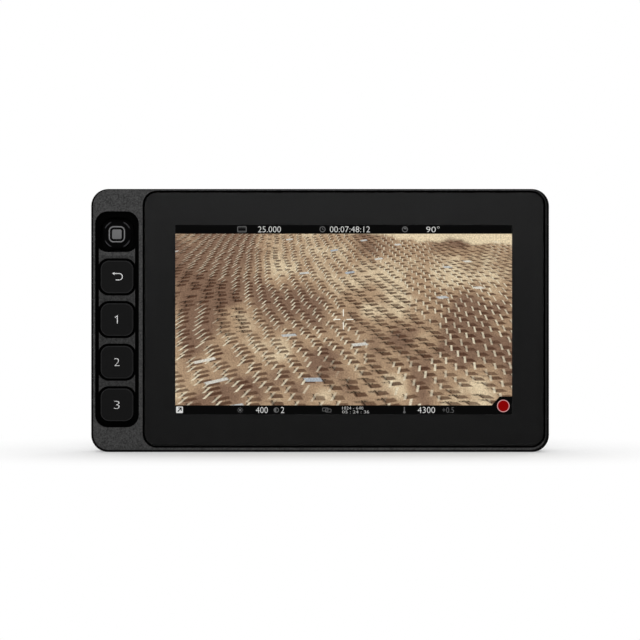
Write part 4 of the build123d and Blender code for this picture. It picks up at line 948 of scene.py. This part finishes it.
record_x, record_z = 60.25, 15.1
record_radius, disc_radius = 2.05, 1.8
corner_low, corner_high = 15.25, 18.2
corner = film_sheet(1)
corner.shape([
    (56.4, corner_low), (59.05, corner_high), (lit_right, corner_high), (lit_right, corner_low),
])
corner.piece("record_corner", light_black, slot="display")
rim = film_sheet(2)
disc_edge = circle(disc_radius, record_x, record_z, 48)
rim.ring(circle(record_radius, record_x, record_z, 48), disc_edge)
rim.piece("record_rim", light_pink, slot="display")
disc = film_sheet(2)
disc.shape(disc_edge)
disc.piece("record_disc", light_red, slot="display")

# %% [markdown]
# The legends are printed on the keys and ride with them: plain numbers on three keys and
# a bent arrow on the one that goes back. The print is a film, 0.012 mm proud of the key.

# %% Key legends
finish(
    "legend", "legend_print", shade(214, 214, 214), 0.6, specular=0.2, grain=0.06,
    grain_size=0.15,
)
key_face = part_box("back_key")[0].y / MM
legend_depths = (key_face - 0.012, key_face + 0.05)
legend_width = 0.26
first_key_z, key_pitch = 57.5, 14.0
digit_half_width, digit_half_height = 0.9, 1.3

x, z = strip_x, first_key_z
top_line, bottom_line = z + 1.12, z - 1.0
bend = circle((top_line - bottom_line) / 2, x + 0.75, (top_line + bottom_line) / 2, 14, 90, -180)
head_x, head_half = x - 0.76, 0.46
back = Sheet(*legend_depths)
back.line([(x - 0.75, top_line)] + bend + [(x - 0.4, bottom_line)], legend_width)
back.shape([(head_x, top_line + head_half), (x - 1.55, top_line), (head_x, top_line - head_half)])
back.piece("legend_back", finishes["legend"], "back_key", "key_plastic")

for number in (1, 2, 3):
    z = first_key_z - number * key_pitch
    legend = Sheet(*legend_depths)
    if number == 1:
        legend.line([(x - 0.6, z + 0.7), (x + 0.15, z + 1.2), (x + 0.15, z - 1.3)], legend_width)
    else:
        legend.text(
            str(number), x - digit_half_width, x + digit_half_width,
            z - digit_half_height, z + digit_half_height, thin=0.024,
        )
    legend.piece(f"legend_{number}", finishes["legend"], f"function_key_{number}", "key_plastic")

# %% [markdown]
# Threads, contact springs and ribs repeat one small shape by a rule, which is work for
# Geometry Nodes. A tree is built in the script with named inputs for its sizes. Its
# result is turned into a plain mesh, because instances don't leave Blender.


# %% Geometry Nodes: helpers
def new_tree(name, sizes):
    """A tree with one named input for each size, whose wires it gives, and its output node."""
    tree = bpy.data.node_groups.new(name, "GeometryNodeTree")
    tree.interface.new_socket("Geometry", in_out="OUTPUT", socket_type="NodeSocketGeometry")
    kinds = {int: "NodeSocketInt", float: "NodeSocketFloat", tuple: "NodeSocketVector"}
    for title, value in sizes.items():
        tree.interface.new_socket(title, in_out="INPUT", socket_type=kinds[type(value)])
    sockets = tree.nodes.new("NodeGroupInput").outputs
    given = {title: Wire(tree, sockets[title]) for title in sizes}
    return tree, given, tree.nodes.new("NodeGroupOutput")


def add(tree, kind, **inputs):
    """The wire out of a new geometry node. An underscore stands for a space in a name."""
    node = tree.nodes.new("GeometryNode" + kind)
    fill_inputs(node, {title.replace("_", " "): value for title, value in inputs.items()})
    return Wire(tree, node.outputs[0])


def end_tree(tree, out, geometry, material):
    realized = add(tree, "RealizeInstances", Geometry=geometry)
    painted = add(tree, "SetMaterial", Geometry=realized, Material=material)
    fill_inputs(out, (painted,))


def grown(tree, sizes):
    """The mesh that a tree makes with these sizes."""
    holder = put("holder", bpy.data.meshes.new("holder"))
    modifier = holder.modifiers.new("tree", "NODES")
    modifier.node_group = tree
    for item in tree.interface.items_tree:
        if item.in_out == "INPUT":
            modifier[item.identifier] = sizes[item.name]
    return mesh_of(holder)


def grown_piece(name, meshes, material, body="root"):
    """Joins meshes that trees made into one piece."""
    built = bmesh.new()
    for mesh in meshes:
        built.from_mesh(mesh)
    bmesh.ops.recalc_face_normals(built, faces=built.faces)
    for face in built.faces:
        face.smooth = True
    return finished(name, built, material, body)


# %% [markdown]
# The two camera threads are 1/4 inch, 20 turns to the inch. A six-sided profile swept
# along a spiral, half of it inside the wall of the bore, leaves the ridge of the thread.


# %% Camera threads
def thread_tree(material):
    sizes = {"Turns": 1.0, "Pitch": 1.0, "Bore Radius": 1.0, "Ridge": 1.0, "Rise": 1.0}
    tree, given, out = new_tree("camera_thread", sizes)
    spiral = add(
        tree, "CurveSpiral", Resolution=32, Rotations=given["Turns"],
        Start_Radius=given["Bore Radius"], End_Radius=given["Bore Radius"],
        Height=given["Turns"] * given["Pitch"],
    )
    profile = add(tree, "CurvePrimitiveCircle", Resolution=6, Radius=given["Ridge"])
    ridge = add(tree, "CurveToMesh", Curve=spiral, Profile_Curve=profile, Fill_Caps=True)
    places = add(tree, "MeshLine", Count=2, Offset=vector(tree, 0.0, 0.0, given["Rise"]))
    end_tree(tree, out, add(tree, "InstanceOnPoints", Points=places, Instance=ridge), material)
    return tree


thread_pitch = 25.4 / 20
thread_turns = 5.2
thread_start = 0.55
bore_radius, ridge_radius = 3.3, 0.42
mount_y = 2.5
body_height = 86.4
thread_rise = body_height - 2 * thread_start - thread_turns * thread_pitch
threads = grown(thread_tree(finishes["steel"]), {
    "Turns": thread_turns, "Pitch": thread_pitch * MM, "Bore Radius": bore_radius * MM,
    "Ridge": ridge_radius * MM, "Rise": thread_rise * MM,
})
threads.transform(Matrix.Translation((0, mount_y * MM, thread_start * MM)))
grown_piece("camera_threads", [threads], finishes["steel"])

# %% [markdown]
# Short rods in a row stand for the contact springs on the tongues of the video and data
# sockets, and for the ribs under the finger on the battery release. One recipe serves
# them all: a line of points, and on each a round rod swept along a short line.


# %% Rows of rods
def row_tree(name, material):
    sizes = {
        "Count": 2, "Start": (0.0, 0.0, 0.0), "Step": (0.0, 0.0, 1.0), "Rod": (1.0, 0.0, 0.0),
        "Rod Radius": 1.0,
    }
    tree, given, out = new_tree(name, sizes)
    places = add(
        tree, "MeshLine", Count=given["Count"], Start_Location=given["Start"], Offset=given["Step"]
    )
    path = add(tree, "CurvePrimitiveLine", End=given["Rod"])
    profile = add(tree, "CurvePrimitiveCircle", Resolution=8, Radius=given["Rod Radius"])
    rod = add(tree, "CurveToMesh", Curve=path, Profile_Curve=profile, Fill_Caps=True)
    end_tree(tree, out, add(tree, "InstanceOnPoints", Points=places, Instance=rod), material)
    return tree


def row(tree, count, start, step, rod, radius):
    """A row of rods, with all sizes in millimetres."""
    start, step, rod = [tuple(value * MM for value in triple) for triple in (start, step, rod)]
    return grown(tree, {
        "Count": count, "Start": start, "Step": step, "Rod": rod, "Rod Radius": radius * MM,
    })


# %% [markdown]
# A video socket has ten springs on one side of its tongue and nine on the other, set
# between them. The small socket has twelve on each side. Each spring is half sunk in the
# plastic, so that only a shallow ridge of gold shows.

# %% Contact springs
spring_tree = row_tree("contact_springs", finishes["gold"])
springs = []


def spring_tongue(x, y, z, half, counts, pitch, length, radius):
    """A row of springs on each side of a tongue, from the middle of its left end."""
    for side, count in zip((-1, 1), counts):
        start = (x, y + side * half, z - (count - 1) / 2 * pitch)
        springs.append(row(spring_tree, count, start, (0, 0, pitch), (length, 0, 0), radius))


for video_z in (50.0, 66.5):
    spring_tongue(50.6, 2.25, video_z, half=0.55, counts=(9, 10), pitch=1.0, length=6.3, radius=0.17)
spring_tongue(-57.4, 1.03, 56.5, half=0.35, counts=(12, 12), pitch=0.5, length=4.2, radius=0.11)
grown_piece("contact_springs", springs, finishes["gold"])

# %% Ribs of the battery release
rib_tree = row_tree("release_ribs", finishes["black_plastic"])
release_x, release_face, release_z = 27.0, 13.1, 24.0
rib_count, rib_pitch, rib_length = 5, 1.5, 4.2
rib_radius, rib_sink = 0.42, 0.12
lowest_z = release_z - (rib_count - 1) / 2 * rib_pitch
rib_start = (release_x - rib_length / 2, release_face - rib_sink, lowest_z)
ribs = row(rib_tree, rib_count, rib_start, (0, 0, rib_pitch), (rib_length, 0, 0), rib_radius)
grown_piece(
    "release_ribs", [ribs], finishes["black_plastic"], "battery_latch",
)

# %% [markdown]
# The latch is pushed out by a bowed leaf of spring steel, which flattens when the release
# is pressed. A rigid solid can't do that. The solid is hidden, and the leaf is made again
# here as a mesh of its own: a row of flat stations along its arc.

# %% Leaf spring of the battery release
spring_low, spring_high = (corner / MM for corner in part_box("latch_spring"))
strip, station_count = 0.25, 32
half_span = (spring_high.x - spring_low.x) / 2
leaf_height = spring_high.y - spring_low.y
bow = leaf_height - strip
bow_radius = (half_span ** 2 + bow ** 2) / (2 * bow)
built = bmesh.new()
stations = []
for step in range(station_count + 1):
    across = half_span * (2 * step / station_count - 1)
    y = spring_low.y + math.sqrt(bow_radius ** 2 - across ** 2) - (bow_radius - bow)
    x = spring_low.x + half_span + across
    top = y + strip
    section = ((y, spring_low.z), (y, spring_high.z), (top, spring_high.z), (top, spring_low.z))
    stations.append([built.verts.new((x * MM, depth * MM, z * MM)) for depth, z in section])
for first, second in zip(stations, stations[1:]):
    for side in range(4):
        following = (side + 1) % 4
        built.faces.new((first[side], first[following], second[following], second[side]))
built.faces.new(stations[0])
built.faces.new(stations[-1])
bmesh.ops.recalc_face_normals(built, faces=built.faces)
leaf = finished("latch_leaf", built, finishes["tray_metal"])
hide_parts("latch_spring")
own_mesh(leaf)

# %% [markdown]
# The floor is pale and keeps the object's shadow. Within nine centimetres it fades into
# the white of the world, so that no horizon line shows. From below it is clear, to let
# the underside of the object be seen.

# %% Sizes of the floor
floor_reach = 4.0
floor_level = -0.05 * MM
fade_middle = 55 * MM
fade_start, fade_end = 15 * MM, 90 * MM
least_white = 0.3
print("floor fades to white from", round(fade_start / MM), "to", round(fade_end / MM), "mm")


# %% Floor
def floor_finish():
    material, tree, shader = start_material("studio_floor")
    point = place(tree)
    x, y, _ = point.parts()
    away = hypotenuse((x.size() - fade_middle).most(0.0), y)
    fill_inputs(shader, {
        "Base Color": dimmed((0.9, 0.9, 0.9), noise(point, 6 * MM, 2) * 0.01 + 0.995),
        "Roughness": 0.9,
        "Specular IOR Level": 0.0,
    })
    white = away.rise(fade_start, fade_end) * (1 - least_white) + least_white
    seen = ray_is(tree, "Is Camera Ray")
    mirrored = ray_is(tree, "Is Glossy Ray", "Is Transmission Ray")
    grounds = Wire(tree, shader.outputs[0]), made(tree, "Emission")
    above = made(tree, "MixShader", ((white * seen).most(mirrored), *grounds))
    from_below = made(tree, "NewGeometry", output="Backfacing")
    show_mix(tree, from_below, above, made(tree, "BsdfTransparent"))
    return material


floor_mesh = bpy.data.meshes.new("floor")
turns = ((-1, -1), (1, -1), (1, 1), (-1, 1))
corners = [(x * floor_reach, y * floor_reach, floor_level) for x, y in turns]
floor_mesh.from_pydata(corners, [], [(0, 1, 2, 3)])
floor_mesh.materials.append(floor_finish())
floor = put("floor", floor_mesh)
print("floor is", 2 * floor_reach, "m wide")

# %% [markdown]
# A soft box in front, a little above the object, lights the screen side. A wide one hangs
# above and three stand behind and at the sides, so that every side is lit. They are wide
# because a mirrored lamp adds to the white behind it. The world adds a low level all
# round, and is white where it is seen, directly or in a reflection.

# %% Lamps and world
middle = Vector((0.0, 0.0, 0.043))


def soft_box(name, spot_at, side, power):
    """A square lamp at a spot, which is aimed at the middle of the object."""
    lamp = bpy.data.lights.new(name, "AREA")
    lamp.shape = "SQUARE"
    lamp.size = side
    lamp.energy = power
    holder = put(name, lamp)
    holder.location = spot_at
    holder.rotation_euler = (middle - Vector(spot_at)).to_track_quat("-Z", "Y").to_euler()


soft_box("front_box", (0.0, -1.5, 0.56), 0.75, 13.0)
soft_box("top_box", (0.0, 0.35, 1.3), 2.0, 9.0)
soft_box("rear_box", (0.2, 1.6, 1.1), 2.4, 16.0)
soft_box("left_box", (-1.4, 0.8, 1.0), 2.1, 10.0)
soft_box("right_box", (1.4, 0.8, 1.0), 2.1, 10.0)

fill_level = 0.2
world = bpy.data.worlds.new("studio")
bpy.context.scene.world = world
world.use_nodes = True
sky = world.node_tree
background = sky.nodes["Background"]
fill_inputs(background, {"Color": (1, 1, 1, 1), "Strength": fill_level})
white = made(sky, "Background", {"Color": (1, 1, 1, 1), "Strength": 1.0})
shown = ray_is(sky, "Is Camera Ray", "Is Glossy Ray", "Is Transmission Ray")
show_mix(sky, shown, Wire(sky, background.outputs[0]), white, "World Output")
print("lamps:", len(bpy.data.lights))

# %% [markdown]
# The camera looks straight at the screen from 0.7 m with a long lens, level with the
# middle of the body.

# %% Camera
lens, sensor = 120.0, 36.0
view_width = 210.05
camera_x, camera_z = -0.03, 43.35
face_y = cad_low.y / MM
distance = view_width * lens / sensor
camera_data = bpy.data.cameras.new("camera")
camera_data.lens = lens
camera_data.sensor_width = sensor
camera_data.clip_start = 0.01
camera = put("camera", camera_data)
camera.location = (camera_x * MM, (face_y - distance) * MM, camera_z * MM)
camera.rotation_euler = (math.radians(90), 0, 0)
bpy.context.scene.camera = camera
bpy.context.scene.view_settings.view_transform = "Standard"
print("camera stands", round(distance), "mm in front of the keys")
